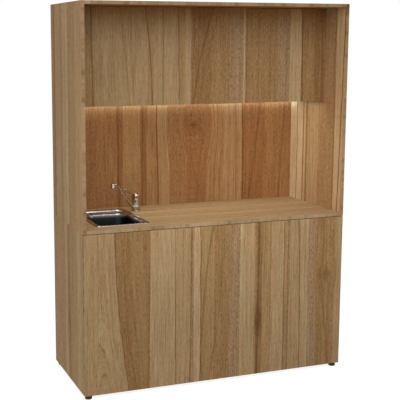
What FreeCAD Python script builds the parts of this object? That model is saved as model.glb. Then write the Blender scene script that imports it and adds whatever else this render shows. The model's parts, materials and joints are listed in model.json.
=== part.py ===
import FreeCAD, Part
import math
import os

# Kitchenette unit: a low cabinet with sink and worktop, and a wall cabinet held over it by full-height sides.
# X runs left to right, Y front to back, Z up. The origin is on the floor under the middle of the unit.
# All sizes are millimetres.

# Outer sizes of the unit
unit_width = 1500.0
unit_depth = 600.0
unit_height = 2030.0
foot_height = 20.0
worktop_level = 890.0
niche_height = 607.0
front_recess = 207.0

# Boards and doors
board_thick = 18.0
worktop_thick = 18.0
door_thick = 18.0
edge_break = 0.6
door_gap = 2.0
end_reveal = 1.0
top_reveal = 3.0
door_seat_gap = 2.0
bay_count = 3

# Lower cabinet
rail_width = 80.0
rail_clear = 8.0
lower_back_thick = 8.0
lower_back_inset = 12.0
shelf_setback = 20.0
shelf_side_gap = 1.0
shelf_back_gap = 2.0
lower_shelf_level = 440.0
service_width = 200.0
service_height = 160.0

# Wall cabinet
upper_shelf_share = 0.5
door_overhang = 2.0
wall_hole_radius = 3.0
wall_hole_spacing = 1200.0
wall_hole_drop = 52.0

# Shelf pins
pin_radius = 2.5
pin_in_wall = 8.0
pin_out = 8.0
pin_from_edge = 50.0
pin_shelf_gap = 0.1

# Light strip under the wall cabinet
light_length = 1400.0
light_from_back = 28.0
profile_width = 17.5
profile_height = 8.0
profile_wall = 1.2
diffuser_thick = 1.2
strip_width = 10.0
strip_thick = 1.6

# Concealed hinges
hinge_from_end = 100.0
cup_radius = 17.5
cup_wall = 1.0
cup_depth = 12.0
cup_edge_gap = 5.0
flange_thick = 1.2
flange_radius = 19.0
ear_reach = 26.0
ear_radius = 6.0
ear_hole_radius = 2.1
ear_hole_reach = 22.5
arm_width = 16.0
arm_thick = 10.0
arm_length = 54.0
arm_front_gap = 1.0
arm_web_depth = 9.0
tip_width = 14.0
tip_near = 20.0
tip_far = 29.5
tip_floor_gap = 0.25
plate_thick = 2.0
plate_length = 32.0
plate_height = 48.0
plate_from_front = 37.0
plate_corner = 6.0
arm_screw_radius = 3.0
arm_screw_depth = 1.5

# Push latches
latch_from_edge = 50.0
latch_sleeve_radius = 5.0
latch_sleeve_length = 50.0
latch_collar_radius = 6.5
latch_collar_thick = 0.8
latch_bore_depth = 44.0
plunger_radius = 3.0
plunger_length = 34.0
plunger_fit = 0.05
plunger_tip_gap = 0.25
plunger_tip_break = 1.0

# Levelling feet
foot_side_inset = 27.0
foot_end_inset = 29.0
foot_pad_radius = 19.0
foot_pad_height = 13.0
foot_pad_taper = 2.0
foot_pad_break = 1.2
foot_neck_radius = 10.0
foot_stem_radius = 3.0
foot_stem_length = 22.0
foot_fit = 0.05
socket_flange_radius = 12.0
socket_flange_thick = 2.5
socket_barrel_radius = 5.0
socket_barrel_length = 16.0
foot_seat_gap = 0.2

# Sink. The bowl's and the tap's places are measured from the rim's left front corner.
rim_width = 303.0
rim_length = 451.0
rim_left = 90.0
rim_front_share = 0.626
rim_corner = 24.0
rim_height = 3.0
rim_slope = 3.5
sheet_thick = 1.2
bowl_width = 235.0
bowl_length = 307.0
bowl_left = 35.0
bowl_front = 33.0
bowl_corner = 58.0
bowl_depth = 160.0
bowl_draft = 12.0
bowl_floor_corner = 46.0
bowl_floor_fillet = 26.0
mouth_fillet = 4.5
cutout_inset = 12.0
cutout_corner = 20.0

# Sink clamps
clip_width = 22.0
clip_thick = 4.0
clip_lap = 12.0
clip_stud_radius = 2.5

# Waste fitting, strainer and trap
waste_hole_radius = 25.0
waste_rim_radius = 35.0
waste_rim_thick = 1.5
waste_neck_radius = 24.9
waste_bore_radius = 21.0
waste_neck_length = 34.0
waste_bar_width = 4.0
waste_bar_height = 5.0
strainer_rim_radius = 29.0
strainer_rim_thick = 1.5
strainer_cup_radius = 20.5
strainer_cup_depth = 14.0
strainer_wall = 1.5
strainer_hole_radius = 2.6
strainer_hole_circle = 13.0
strainer_hole_count = 8
strainer_knob_radius = 5.0
strainer_knob_height = 14.0
tail_nut_radius = 31.0
tail_nut_height = 22.0
tail_pipe_radius = 16.0
tail_pipe_length = 90.0
trap_radius = 32.0
trap_height = 120.0
trap_cap_radius = 35.0
trap_cap_height = 24.0
trap_fillet = 6.0
trap_outlet_drop = 24.0
outlet_nut_radius = 26.0
outlet_nut_length = 18.0
outlet_radius = 20.0
outlet_spigot_radius = 18.0
outlet_wall = 2.0
outlet_end_gap = 4.0
cap_rib_count = 12
cap_rib_radius = 2.5

# Mixer tap
tap_left = 440.0
tap_front = 377.0
tap_hole_radius = 17.5
tap_base_radius = 24.0
tap_base_height = 4.0
tap_core_radius = 15.0
tap_fit = 0.05
tap_running_gap = 0.1
swivel_top = 33.0
swivel_radius = 22.5
swivel_bulge = 1.2
body_radius = 22.0
body_top = 70.0
body_edge_break = 1.0
cartridge_radius = 16.9
cartridge_bore_radius = 17.0
cartridge_floor = 44.0
cartridge_height = 21.0
spigot_length = 4.0
dome_seat_gap = 0.3
dome_top = 95.0
dome_radius = 21.5
dome_fillet = 7.0
shank_radius = 16.5
shank_length = 35.0
inlet_radius = 5.0
inlet_offset = 7.6
inlet_depth = 14.0
tap_washer_radius = 25.0
tap_washer_thick = 6.0
tap_nut_radius = 24.0
tap_nut_height = 11.0
nut_sides = 6

# Spout and lever of the tap
spout_turn_deg = 212.0
spout_rise = 1.04
spout_root_reach = 17.0
spout_root_height = 10.0
spout_top = 164.0
spout_reach = 200.0
spout_bend_radius = 40.0
spout_radius = 8.0
spout_wall = 1.5
nozzle_radius = 12.0
nozzle_low = 152.0
nozzle_high = 176.0
nozzle_break = 2.0
nozzle_bore_radius = 10.0
nozzle_bore_depth = 14.0
aerator_radius = 9.95
aerator_height = 10.0
aerator_proud = 2.0
aerator_hole_radius = 1.3
aerator_hole_circle = 5.5
aerator_hole_count = 8
pivot_height = 82.0
pivot_pin_radius = 2.5
pivot_fit = 0.05
lever_boss_radius = 9.0
lever_root_width = 16.0
lever_root_gap = 0.3
slot_back = 12.5
slot_front = 13.0
slot_floor = 72.0
lever_rise_deg = 25.0
lever_axis_height = 84.0
lever_root_thick = 14.0
lever_tip_thick = 5.0
lever_tail = 5.0
lever_reach = 116.0
lever_tip_half = 7.0
lever_edge_break = 1.2

# One overrun for every cut that passes through a face, and the slack for finding edges by their height
overrun = 5.0
level_slack = 0.01


def vec(x, y, z):
    return FreeCAD.Vector(x, y, z)


up = vec(0, 0, 1)
back = vec(0, 1, 0)
right = vec(1, 0, 0)
origin = vec(0, 0, 0)

# Faces of the unit
left_face = -unit_width / 2
right_face = unit_width / 2
front_face = -unit_depth / 2
back_face = unit_depth / 2

# Lower cabinet, worked out from the sizes above
left_inner = left_face + board_thick
right_inner = right_face - board_thick
carcass_front = front_face + door_thick + door_seat_gap
worktop_under = worktop_level - worktop_thick
lower_floor = foot_height + board_thick
rail_under = worktop_under - board_thick
lower_back_front = back_face - lower_back_inset - lower_back_thick
lower_divider_places = [left_face + unit_width * n / bay_count for n in range(1, bay_count)]

# Wall cabinet
upper_door_front = front_face + front_recess
upper_front = upper_door_front + door_thick + door_seat_gap
upper_door_low = worktop_level + niche_height
upper_under = upper_door_low + door_overhang
upper_floor = upper_under + board_thick
ceiling = unit_height - board_thick
splash_front = back_face - board_thick
upper_shelf_level = upper_floor + (ceiling - board_thick - upper_floor) * upper_shelf_share
inner_width = right_inner - left_inner
upper_divider_places = [left_inner + inner_width * n / bay_count for n in range(1, bay_count)]

# Sink and tap places
rim_low_x = left_face + rim_left
rim_low_y = front_face + (splash_front - front_face - rim_length) * rim_front_share
rim_x = rim_low_x + rim_width / 2
rim_y = rim_low_y + rim_length / 2
bowl_x = rim_low_x + bowl_left + bowl_width / 2
bowl_y = rim_low_y + bowl_front + bowl_length / 2
rim_top = worktop_level + rim_height
rim_under = rim_top - sheet_thick
bowl_floor = rim_top - bowl_depth
tap_x = left_face + tap_left
tap_y = rim_low_y + tap_front
trap_top = bowl_floor - sheet_thick - waste_neck_length - tail_pipe_length + tail_nut_height
outlet_level = trap_top - trap_cap_height - trap_outlet_drop
service_x = bowl_x
service_low = outlet_level - service_height / 2


def block(x0, x1, y0, y1, z0, z1):
    return Part.makeBox(x1 - x0, y1 - y0, z1 - z0, vec(x0, y0, z0))


def board(x0, x1, y0, y1, z0, z1):
    """A flat board with all its edges slightly broken."""
    plain = block(x0, x1, y0, y1, z0, z1)
    return plain.makeChamfer(edge_break, plain.Edges)


def rod(radius, length, foot, axis=up):
    return Part.makeCylinder(radius, length, foot, axis)


def lathe(outline, x, y):
    """A closed outline of (radius, height) points, turned about the upright line through x, y."""
    points = [vec(x + r, y, z) for r, z in outline]
    face = Part.Face(Part.makePolygon(points + points[:1]))
    return face.revolve(vec(x, y, 0), up, 360)


def rounded_wire(x, y, width, length, corner, z):
    """A rectangle with round corners, centred on x, y and lying at height z."""
    half_x = width / 2
    half_y = length / 2
    diagonal = corner * (1 - math.sqrt(0.5))
    edges = []
    for step in range(4):
        wide, deep = (half_x, half_y) if step % 2 == 0 else (half_y, half_x)
        start = vec(wide, -deep + corner, 0)
        end = vec(wide, deep - corner, 0)
        middle = vec(wide - diagonal, deep - diagonal, 0)
        after = vec(wide - corner, deep, 0)
        side = [Part.LineSegment(start, end).toShape(), Part.Arc(end, middle, after).toShape()]
        for edge in side:
            edge.rotate(origin, up, 90 * step)
            edge.translate(vec(x, y, z))
            edges.append(edge)
    return Part.Wire(Part.__sortEdges__(edges))


def rounded_block(x, y, width, length, corner, z0, z1):
    face = Part.Face(rounded_wire(x, y, width, length, corner, z0))
    return face.extrude(vec(0, 0, z1 - z0))


def edges_at(shape, z):
    """The edges of a shape that lie wholly at one height."""
    return [e for e in shape.Edges
            if abs(e.BoundBox.ZMin - z) < level_slack and abs(e.BoundBox.ZMax - z) < level_slack]


def edges_between(shape, z, half_x, half_y, x, y):
    """The edges at one height that keep within a rectangle round x, y."""
    kept = []
    for edge in edges_at(shape, z):
        box = edge.BoundBox
        inside_x = box.XMin > x - half_x and box.XMax < x + half_x
        inside_y = box.YMin > y - half_y and box.YMax < y + half_y
        if inside_x and inside_y:
            kept.append(edge)
    return kept


def bays(places, low, high, half):
    """The clear spaces between a cabinet's sides and dividers."""
    walls = [low] + [side for place in places for side in (place - half, place + half)] + [high]
    return list(zip(walls[0::2], walls[1::2]))


lower_bays = bays(lower_divider_places, left_inner, right_inner, board_thick / 2)
upper_bays = bays(upper_divider_places, left_inner, right_inner, board_thick / 2)


# Doors. Each is (name, hinge edge x, free edge x, panel face beside the hinge, turning side).
def door_table(kind, low, high, reveal, dividers, side_faces):
    """Doors share the width evenly. The first two hang on their left, the last one on its right."""
    width = (high - low - 2 * reveal - door_gap * (bay_count - 1)) / bay_count
    doors = []
    for n, word in enumerate(("left", "middle", "right")):
        x0 = low + reveal + n * (width + door_gap)
        x1 = x0 + width
        if word == "left":
            doors.append((kind + "_" + word, x0, x1, side_faces[0], 1))
        elif word == "middle":
            doors.append((kind + "_" + word, x0, x1, dividers[0] + board_thick / 2, 1))
        else:
            doors.append((kind + "_" + word, x1, x0, side_faces[1], -1))
    return doors


side_faces = (left_inner, right_inner)
lower_doors = door_table("lower", left_face, right_face, end_reveal, lower_divider_places, side_faces)
upper_doors = door_table("upper", left_inner, right_inner, door_gap, upper_divider_places, side_faces)
lower_door_low = foot_height + door_gap
lower_door_high = worktop_under - top_reveal
upper_door_high = ceiling - door_gap


def hinge_levels(low, high):
    return (low + hinge_from_end, high - hinge_from_end)


lower_levels = hinge_levels(lower_door_low, lower_door_high)
upper_levels = hinge_levels(upper_door_low, upper_door_high)


def placed(shape, edge_x, axis_y, z, side):
    """Moves a hinge part from its own frame (x from the hinge edge, y from the door's front) to its door."""
    if side < 0:
        shape = shape.mirror(origin, right)
    shape.translate(vec(edge_x, axis_y, z))
    return shape


def hinge_cup():
    """A pressed cup with a flange and two ears, sunk in the door's back."""
    x = cup_edge_gap + cup_radius
    cup_low = door_thick - cup_depth
    shell = rod(cup_radius, cup_depth, vec(x, cup_low, 0), back)
    flange = rod(flange_radius, flange_thick, vec(x, door_thick, 0), back)
    ears = block(x - ear_radius, x + ear_radius, door_thick, door_thick + flange_thick,
                 -ear_reach, ear_reach)
    hollow = rod(cup_radius - cup_wall, cup_depth + overrun, vec(x, cup_low + cup_wall, 0), back)
    holes = [rod(ear_hole_radius, door_thick + overrun, vec(x, 0, z), back)
             for z in (-ear_hole_reach, ear_hole_reach)]
    return shell.fuse([flange, ears]).removeSplitter().cut([hollow] + holes)


def hinge_arm(panel_x):
    """The arm with its mounting plate. panel_x is the panel's face, measured from the hinge edge."""
    front = door_thick + door_seat_gap
    arm_low = panel_x + plate_thick
    arm_high = arm_low + arm_thick
    half = arm_width / 2
    start = front + arm_front_gap
    bar = block(arm_low, arm_high, start, start + arm_length, -half, half)
    web = block(arm_low, tip_far, start, start + arm_web_depth, -half, half)
    cup_floor = door_thick - cup_depth + cup_wall
    tip_low = cup_floor + tip_floor_gap
    tip = block(tip_near, tip_far, tip_low, start + arm_web_depth, -tip_width / 2, tip_width / 2)
    arm = bar.fuse([web, tip]).removeSplitter()
    middle = front + plate_from_front
    plate = Part.Face(rounded_wire(0, 0, plate_length, plate_height, plate_corner, 0))
    plate = plate.extrude(vec(0, 0, plate_thick))
    plate.rotate(origin, right, 90)
    plate.rotate(origin, up, 90)
    plate.translate(vec(panel_x, middle, 0))
    screw_low = arm_high - arm_screw_depth
    screw = rod(arm_screw_radius, arm_screw_depth + overrun, vec(screw_low, middle, 0), right)
    return arm.fuse(plate).removeSplitter().cut(screw)


def hinge_cups(one, axis_y, levels):
    name, edge_x, free_x, panel_x, side = one
    return [placed(hinge_cup(), edge_x, axis_y, z, side) for z in levels]


def hinge_arms(doors, axis_y, levels):
    return [placed(hinge_arm((panel_x - edge_x) * side), edge_x, axis_y, z, side)
            for name, edge_x, free_x, panel_x, side in doors for z in levels]


def door(edge_x, free_x, axis_y, low, high, levels, side):
    """A plain slab with the cup holes bored in its back."""
    slab = board(min(edge_x, free_x), max(edge_x, free_x), axis_y, axis_y + door_thick, low, high)
    x = edge_x + side * (cup_edge_gap + cup_radius)
    cup_low = axis_y + door_thick - cup_depth
    holes = [rod(cup_radius, cup_depth + overrun, vec(x, cup_low, z), back) for z in levels]
    return slab.cut(holes)


# Push latches, bored into a board's front edge near each door's free edge
def latch_place(free_x, side):
    return free_x - side * latch_from_edge


def latch_sleeve(x, board_front, z):
    sleeve = rod(latch_sleeve_radius, latch_sleeve_length, vec(x, board_front, z), back)
    collar = rod(latch_collar_radius, latch_collar_thick, vec(x, board_front - latch_collar_thick, z), back)
    bore = rod(plunger_radius + plunger_fit, latch_bore_depth + latch_collar_thick,
               vec(x, board_front - latch_collar_thick, z), back)
    return sleeve.fuse(collar).cut(bore)


def latch_plunger(x, door_back, z):
    pin = rod(plunger_radius, plunger_length, vec(x, door_back + plunger_tip_gap, z), back)
    tip = [e for e in pin.Edges if e.BoundBox.YMax < door_back + plunger_tip_gap + plunger_tip_break]
    return pin.makeFillet(plunger_tip_break, tip)


# Shelf pins
def pins_for(bay, front, rear, level):
    """Four pins under a shelf, each standing half in the wall and half out of it."""
    z = level - pin_radius - pin_shelf_gap
    length = pin_in_wall + pin_out
    pins = []
    for y in (front + pin_from_edge, rear - pin_from_edge):
        pins.append(rod(pin_radius, length, vec(bay[0] - pin_in_wall, y, z), right))
        pins.append(rod(pin_radius, length, vec(bay[1] - pin_out, y, z), right))
    return pins


lower_pins = []
for bay in lower_bays[1:]:
    lower_pins += pins_for(bay, carcass_front, lower_back_front, lower_shelf_level)
upper_pins = []
for bay in upper_bays:
    upper_pins += pins_for(bay, upper_front, splash_front, upper_shelf_level)


# Lower cabinet
def lower_side(x0, x1):
    return board(x0, x1, carcass_front, back_face, foot_height, worktop_under).cut(lower_pins)


def foot_places():
    xs = (left_face + foot_side_inset, right_face - foot_side_inset)
    ys = (front_face + foot_end_inset, back_face - foot_end_inset)
    return [(x, y) for y in ys for x in xs]


def lower_bottom():
    base = board(left_inner, right_inner, carcass_front, lower_back_front, foot_height, lower_floor)
    holes = [rod(socket_barrel_radius, board_thick + 2 * overrun, vec(x, y, foot_height - overrun))
             for x, y in foot_places()]
    return base.cut(holes)


def lower_divider(x):
    half = board_thick / 2
    wall = board(x - half, x + half, carcass_front, lower_back_front, lower_floor, rail_under)
    return wall.cut(lower_pins)


def rail_notches():
    """The room that the rails leave round the bowl and round the tap's nut, where they come near."""
    low = rail_under - overrun
    bowl = rounded_block(bowl_x, bowl_y, bowl_width + 2 * rail_clear, bowl_length + 2 * rail_clear,
                         bowl_corner, low, worktop_under + overrun)
    nut = rod(tap_nut_radius + rail_clear, worktop_under - low, vec(tap_x, tap_y, low))
    return [bowl, nut]


def top_rails():
    front_rail = board(left_inner, right_inner, carcass_front, carcass_front + rail_width,
                       rail_under, worktop_under)
    z = (rail_under + worktop_under) / 2
    for name, edge_x, free_x, panel_x, side in lower_doors:
        x = latch_place(free_x, side)
        bore = rod(latch_sleeve_radius, latch_sleeve_length, vec(x, carcass_front, z), back)
        front_rail = front_rail.cut(bore)
    rear_rail = board(left_inner, right_inner, lower_back_front - rail_width, lower_back_front,
                      rail_under, worktop_under)
    return [front_rail.cut(rail_notches()), rear_rail.cut(rail_notches())]


def lower_back():
    y1 = lower_back_front + lower_back_thick
    panel = block(left_inner, right_inner, lower_back_front, y1, foot_height, worktop_under)
    window = block(service_x - service_width / 2, service_x + service_width / 2,
                   lower_back_front - overrun, y1 + overrun, service_low, service_low + service_height)
    return panel.cut(window)


def lower_shelf(bay):
    return board(bay[0] + shelf_side_gap, bay[1] - shelf_side_gap, carcass_front + shelf_setback,
                 lower_back_front - shelf_back_gap, lower_shelf_level, lower_shelf_level + board_thick)


# Worktop with the sink's cut-out and the tap's hole
def worktop():
    slab = board(left_inner, right_face, front_face, back_face, worktop_under, worktop_level)
    cutout = rounded_block(rim_x, rim_y, rim_width - 2 * cutout_inset, rim_length - 2 * cutout_inset,
                           cutout_corner, worktop_under - overrun, worktop_level + overrun)
    hole = rod(tap_hole_radius, worktop_thick + 2 * overrun, vec(tap_x, tap_y, worktop_under - overrun))
    return slab.cut([cutout, hole])


# Wall cabinet and the full-height sides
def upper_side(x0, x1, low):
    return board(x0, x1, front_face, back_face, low, unit_height).cut(upper_pins)


def splash_back():
    panel = board(left_inner, right_inner, splash_front, back_face, worktop_level, ceiling)
    z = ceiling - wall_hole_drop
    holes = [rod(wall_hole_radius, board_thick + 2 * overrun, vec(x, splash_front - overrun, z), back)
             for x in (-wall_hole_spacing / 2, wall_hole_spacing / 2)]
    return panel.cut(holes)


light_y1 = splash_front - light_from_back
light_y0 = light_y1 - profile_width


def wall_bottom():
    base = board(left_inner, right_inner, upper_front, splash_front, upper_under, upper_floor)
    groove = block(-light_length / 2, light_length / 2, light_y0, light_y1,
                   upper_under - overrun, upper_under + profile_height)
    z = (upper_under + upper_floor) / 2
    bores = []
    for name, edge_x, free_x, panel_x, side in upper_doors:
        x = latch_place(free_x, side)
        bores.append(rod(latch_sleeve_radius, latch_sleeve_length, vec(x, upper_front, z), back))
    return base.cut([groove] + bores)


def upper_divider(x):
    half = board_thick / 2
    wall = board(x - half, x + half, upper_front, splash_front, upper_floor, ceiling)
    return wall.cut(upper_pins)


def upper_shelf(bay):
    return board(bay[0] + shelf_side_gap, bay[1] - shelf_side_gap, upper_front + shelf_setback,
                 splash_front - shelf_back_gap, upper_shelf_level, upper_shelf_level + board_thick)


# Light strip: an aluminium channel let into the board, with a circuit strip and a diffuser
def light_profile():
    half = light_length / 2
    body = block(-half, half, light_y0, light_y1, upper_under, upper_under + profile_height)
    room = block(-half - overrun, half + overrun, light_y0 + profile_wall, light_y1 - profile_wall,
                 upper_under - overrun, upper_under + profile_height - profile_wall)
    return body.cut(room)


def light_diffuser():
    half = light_length / 2
    return block(-half, half, light_y0 + profile_wall, light_y1 - profile_wall,
                 upper_under, upper_under + diffuser_thick)


def light_circuit():
    half = light_length / 2
    middle = (light_y0 + light_y1) / 2
    top = upper_under + profile_height - profile_wall
    return block(-half, half, middle - strip_width / 2, middle + strip_width / 2, top - strip_thick, top)


# Levelling feet
def foot(x, y):
    taper = [
        (0, 0),
        (foot_pad_radius - foot_pad_break, 0),
        (foot_pad_radius, foot_pad_break),
        (foot_pad_radius, foot_pad_height - foot_pad_taper),
        (foot_pad_radius - foot_pad_taper, foot_pad_height),
        (foot_neck_radius, foot_pad_height),
        (foot_neck_radius, foot_height - socket_flange_thick - foot_seat_gap),
        (foot_stem_radius, foot_height - socket_flange_thick - foot_seat_gap),
        (foot_stem_radius, foot_pad_height + foot_stem_length - foot_pad_break),
        (foot_stem_radius - foot_pad_break, foot_pad_height + foot_stem_length),
        (0, foot_pad_height + foot_stem_length),
    ]
    return lathe(taper, x, y)


def foot_socket(x, y):
    flange = rod(socket_flange_radius, socket_flange_thick, vec(x, y, foot_height - socket_flange_thick))
    barrel = rod(socket_barrel_radius, socket_barrel_length, vec(x, y, foot_height))
    bore = rod(foot_stem_radius + foot_fit, foot_height + socket_barrel_length,
               vec(x, y, foot_height - socket_flange_thick - overrun))
    return flange.fuse(barrel).cut(bore)


# Sink: one pressed sheet with a raised rim and a deep bowl
def bowl_form(grow, top, floor):
    """The bowl's inside, drafted and round at the bottom. Its outside is grown by the sheet's thickness."""
    upper = rounded_wire(bowl_x, bowl_y, bowl_width + 2 * grow, bowl_length + 2 * grow,
                         bowl_corner + grow, top)
    lower = rounded_wire(bowl_x, bowl_y, bowl_width - 2 * bowl_draft + 2 * grow,
                         bowl_length - 2 * bowl_draft + 2 * grow, bowl_floor_corner + grow, floor)
    form = Part.makeLoft([upper, lower], True, True)
    return form.makeFillet(bowl_floor_fillet + grow, edges_at(form, floor))


def rim_form(shrink, low, high):
    outer = rounded_wire(rim_x, rim_y, rim_width - 2 * shrink, rim_length - 2 * shrink,
                         rim_corner - shrink, low)
    inset = shrink + rim_slope
    inner = rounded_wire(rim_x, rim_y, rim_width - 2 * inset, rim_length - 2 * inset,
                         rim_corner - inset, high)
    return Part.makeLoft([outer, inner], True, True)


def sink():
    rim = rim_form(0, worktop_level, rim_top)
    under = rim_form(sheet_thick, worktop_level - rim_height, rim_under)
    rim = rim.cut(under)
    outside = bowl_form(sheet_thick, rim_under, bowl_floor - sheet_thick)
    inside = bowl_form(0, rim_top, bowl_floor)
    body = rim.fuse(outside).removeSplitter()
    half_x = bowl_width / 2
    half_y = bowl_length / 2
    neck = edges_between(body, rim_under, half_x + 2 * sheet_thick, half_y + 2 * sheet_thick, bowl_x, bowl_y)
    body = body.makeFillet(mouth_fillet - sheet_thick, neck)
    body = body.cut(inside)
    mouth = edges_between(body, rim_top, half_x + sheet_thick, half_y + sheet_thick, bowl_x, bowl_y)
    body = body.makeFillet(mouth_fillet, mouth)
    drain_low = bowl_floor - sheet_thick - overrun
    drain = rod(waste_hole_radius, sheet_thick + 2 * overrun, vec(bowl_x, bowl_y, drain_low))
    return body.cut(drain)


def clip_places():
    """Clamps stand in the gap between the cut-out's edge and the bowl, two on each long side."""
    places = []
    for side, rim_edge in ((-1, rim_x - rim_width / 2), (1, rim_x + rim_width / 2)):
        for y in (bowl_y - bowl_length / 4, bowl_y + bowl_length / 4):
            places.append((rim_edge - side * cutout_inset, y, side))
    return places


def sink_clip(cut_x, y, side):
    """A flat bar that laps under the worktop, with a stud up to the rim."""
    near = cut_x - side * clip_lap
    far = cut_x + side * clip_lap
    bar = block(min(near, far), max(near, far), y - clip_width / 2, y + clip_width / 2,
                worktop_under - clip_thick, worktop_under)
    stud_x = cut_x - side * clip_lap / 2
    stud = rod(clip_stud_radius, rim_under - worktop_under, vec(stud_x, y, worktop_under))
    return bar.fuse(stud)


# Waste fitting
def waste_flange():
    top = bowl_floor + waste_rim_thick
    low = bowl_floor - sheet_thick - waste_neck_length
    outline = [
        (waste_bore_radius, low),
        (waste_neck_radius, low),
        (waste_neck_radius, bowl_floor),
        (waste_rim_radius, bowl_floor),
        (waste_rim_radius - waste_rim_thick / 2, top),
        (waste_neck_radius, top),
        (waste_bore_radius, top - waste_rim_thick / 2),
    ]
    ring = lathe(outline, bowl_x, bowl_y)
    reach = waste_neck_radius - (waste_neck_radius - waste_bore_radius) / 2
    half = waste_bar_width / 2
    bars = [block(bowl_x - reach, bowl_x + reach, bowl_y - half, bowl_y + half, low, low + waste_bar_height),
            block(bowl_x - half, bowl_x + half, bowl_y - reach, bowl_y + reach, low, low + waste_bar_height)]
    return ring.fuse(bars)


def strainer():
    seat = bowl_floor + waste_rim_thick
    low = seat - strainer_cup_depth
    inner = strainer_cup_radius - strainer_wall
    outline = [
        (0, low),
        (strainer_cup_radius - strainer_wall, low),
        (strainer_cup_radius, low + strainer_wall),
        (strainer_cup_radius, seat),
        (strainer_rim_radius, seat),
        (strainer_rim_radius, seat + strainer_rim_thick),
        (inner, seat + strainer_rim_thick),
        (inner, low + strainer_wall),
        (strainer_knob_radius / 2, low + strainer_wall),
        (strainer_knob_radius / 2, seat + strainer_knob_height - strainer_knob_radius),
        (strainer_knob_radius, seat + strainer_knob_height - strainer_knob_radius / 2),
        (strainer_knob_radius, seat + strainer_knob_height),
        (0, seat + strainer_knob_height),
    ]
    cup = lathe(outline, bowl_x, bowl_y)
    holes = []
    for n in range(strainer_hole_count):
        turn = 2 * math.pi * n / strainer_hole_count
        x = bowl_x + strainer_hole_circle * math.cos(turn)
        y = bowl_y + strainer_hole_circle * math.sin(turn)
        holes.append(rod(strainer_hole_radius, strainer_wall + 2 * overrun, vec(x, y, low - overrun)))
    return cup.cut(holes)


def ribbed_nut(x, y, low, radius, height, bore):
    """A hand-tightened plastic nut with grooves round it."""
    nut = rod(radius, height, vec(x, y, low))
    grooves = []
    for n in range(cap_rib_count):
        turn = 2 * math.pi * n / cap_rib_count
        place = vec(x + radius * math.cos(turn), y + radius * math.sin(turn), low - overrun)
        grooves.append(rod(cap_rib_radius, height + 2 * overrun, place))
    hole = rod(bore, height + 2 * overrun, vec(x, y, low - overrun))
    return nut.cut(grooves + [hole])


waste_low = bowl_floor - sheet_thick - waste_neck_length


def tail_nut():
    low = waste_low - tail_nut_height / 2
    nut = ribbed_nut(bowl_x, bowl_y, low, tail_nut_radius, tail_nut_height, tail_pipe_radius)
    room = rod(waste_neck_radius, tail_nut_height, vec(bowl_x, bowl_y, waste_low))
    return nut.cut(room)


def tail_pipe():
    low = trap_top
    length = waste_low - low
    pipe = rod(tail_pipe_radius, length, vec(bowl_x, bowl_y, low))
    hole = rod(tail_pipe_radius - outlet_wall, length + 2 * overrun, vec(bowl_x, bowl_y, low - overrun))
    return pipe.cut(hole)


def trap_cap():
    low = trap_top - trap_cap_height
    return ribbed_nut(bowl_x, bowl_y, low, trap_cap_radius, trap_cap_height, tail_pipe_radius)


def bottle_trap():
    """The bottle with its dip pipe's seat on top and the outlet's boss behind."""
    top = trap_top - trap_cap_height
    bottle = rod(trap_radius, trap_height, vec(bowl_x, bowl_y, top - trap_height))
    bottle = bottle.makeFillet(trap_fillet, edges_at(bottle, top - trap_height))
    collar = rod(tail_pipe_radius, trap_cap_height, vec(bowl_x, bowl_y, top))
    reach = trap_radius + outlet_nut_length
    boss = rod(outlet_radius, reach, vec(bowl_x, bowl_y, outlet_level), back)
    return bottle.fuse([collar, boss])


def outlet_start():
    return bowl_y + trap_radius + outlet_nut_length


def outlet_nut():
    """Half of the nut grips the trap's boss, the other half the pipe's spigot."""
    half = outlet_nut_length / 2
    y0 = outlet_start() - half
    nut = rod(outlet_nut_radius, outlet_nut_length, vec(bowl_x, y0, outlet_level), back)
    boss_room = rod(outlet_radius, half + overrun, vec(bowl_x, y0 - overrun, outlet_level), back)
    spigot_room = rod(outlet_spigot_radius, half + overrun, vec(bowl_x, y0 + half, outlet_level), back)
    return nut.cut([boss_room, spigot_room])


def waste_pipe():
    y0 = outlet_start()
    y1 = y0 + outlet_nut_length / 2
    end = back_face - outlet_end_gap
    spigot = rod(outlet_spigot_radius, y1 - y0, vec(bowl_x, y0, outlet_level), back)
    pipe = rod(outlet_radius, end - y1, vec(bowl_x, y1, outlet_level), back)
    hole = rod(outlet_spigot_radius - outlet_wall, end - y0, vec(bowl_x, y0 + outlet_wall, outlet_level), back)
    return spigot.fuse(pipe).cut(hole)


# Mixer tap. Heights are above the worktop.
def at_tap(height):
    return worktop_level + height


def tap_body():
    """Base, core, body and threaded shank, turned in one piece, with the cartridge's bore on top."""
    outline = [
        (0, -worktop_thick - shank_length),
        (shank_radius, -worktop_thick - shank_length),
        (shank_radius, 0),
        (tap_base_radius, 0),
        (tap_base_radius, tap_base_height / 2),
        (tap_base_radius - tap_base_height / 2, tap_base_height),
        (tap_core_radius, tap_base_height),
        (tap_core_radius, swivel_top),
        (body_radius - body_edge_break, swivel_top),
        (body_radius, swivel_top + body_edge_break),
        (body_radius, body_top - body_edge_break),
        (body_radius - body_edge_break, body_top),
        (cartridge_bore_radius, body_top),
        (cartridge_bore_radius, cartridge_floor),
        (0, cartridge_floor),
    ]
    body = lathe([(r, at_tap(h)) for r, h in outline], tap_x, tap_y)
    low = at_tap(-worktop_thick - shank_length)
    inlets = [rod(inlet_radius, inlet_depth + overrun, vec(tap_x + side * inlet_offset, tap_y, low - overrun))
              for side in (-1, 1)]
    return body.cut(inlets)


def tap_washer():
    ring = rod(tap_washer_radius, tap_washer_thick, vec(tap_x, tap_y, worktop_under - tap_washer_thick))
    return ring.cut(rod(shank_radius + tap_fit, worktop_thick + tap_washer_thick,
                        vec(tap_x, tap_y, worktop_under - tap_washer_thick - overrun)))


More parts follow.
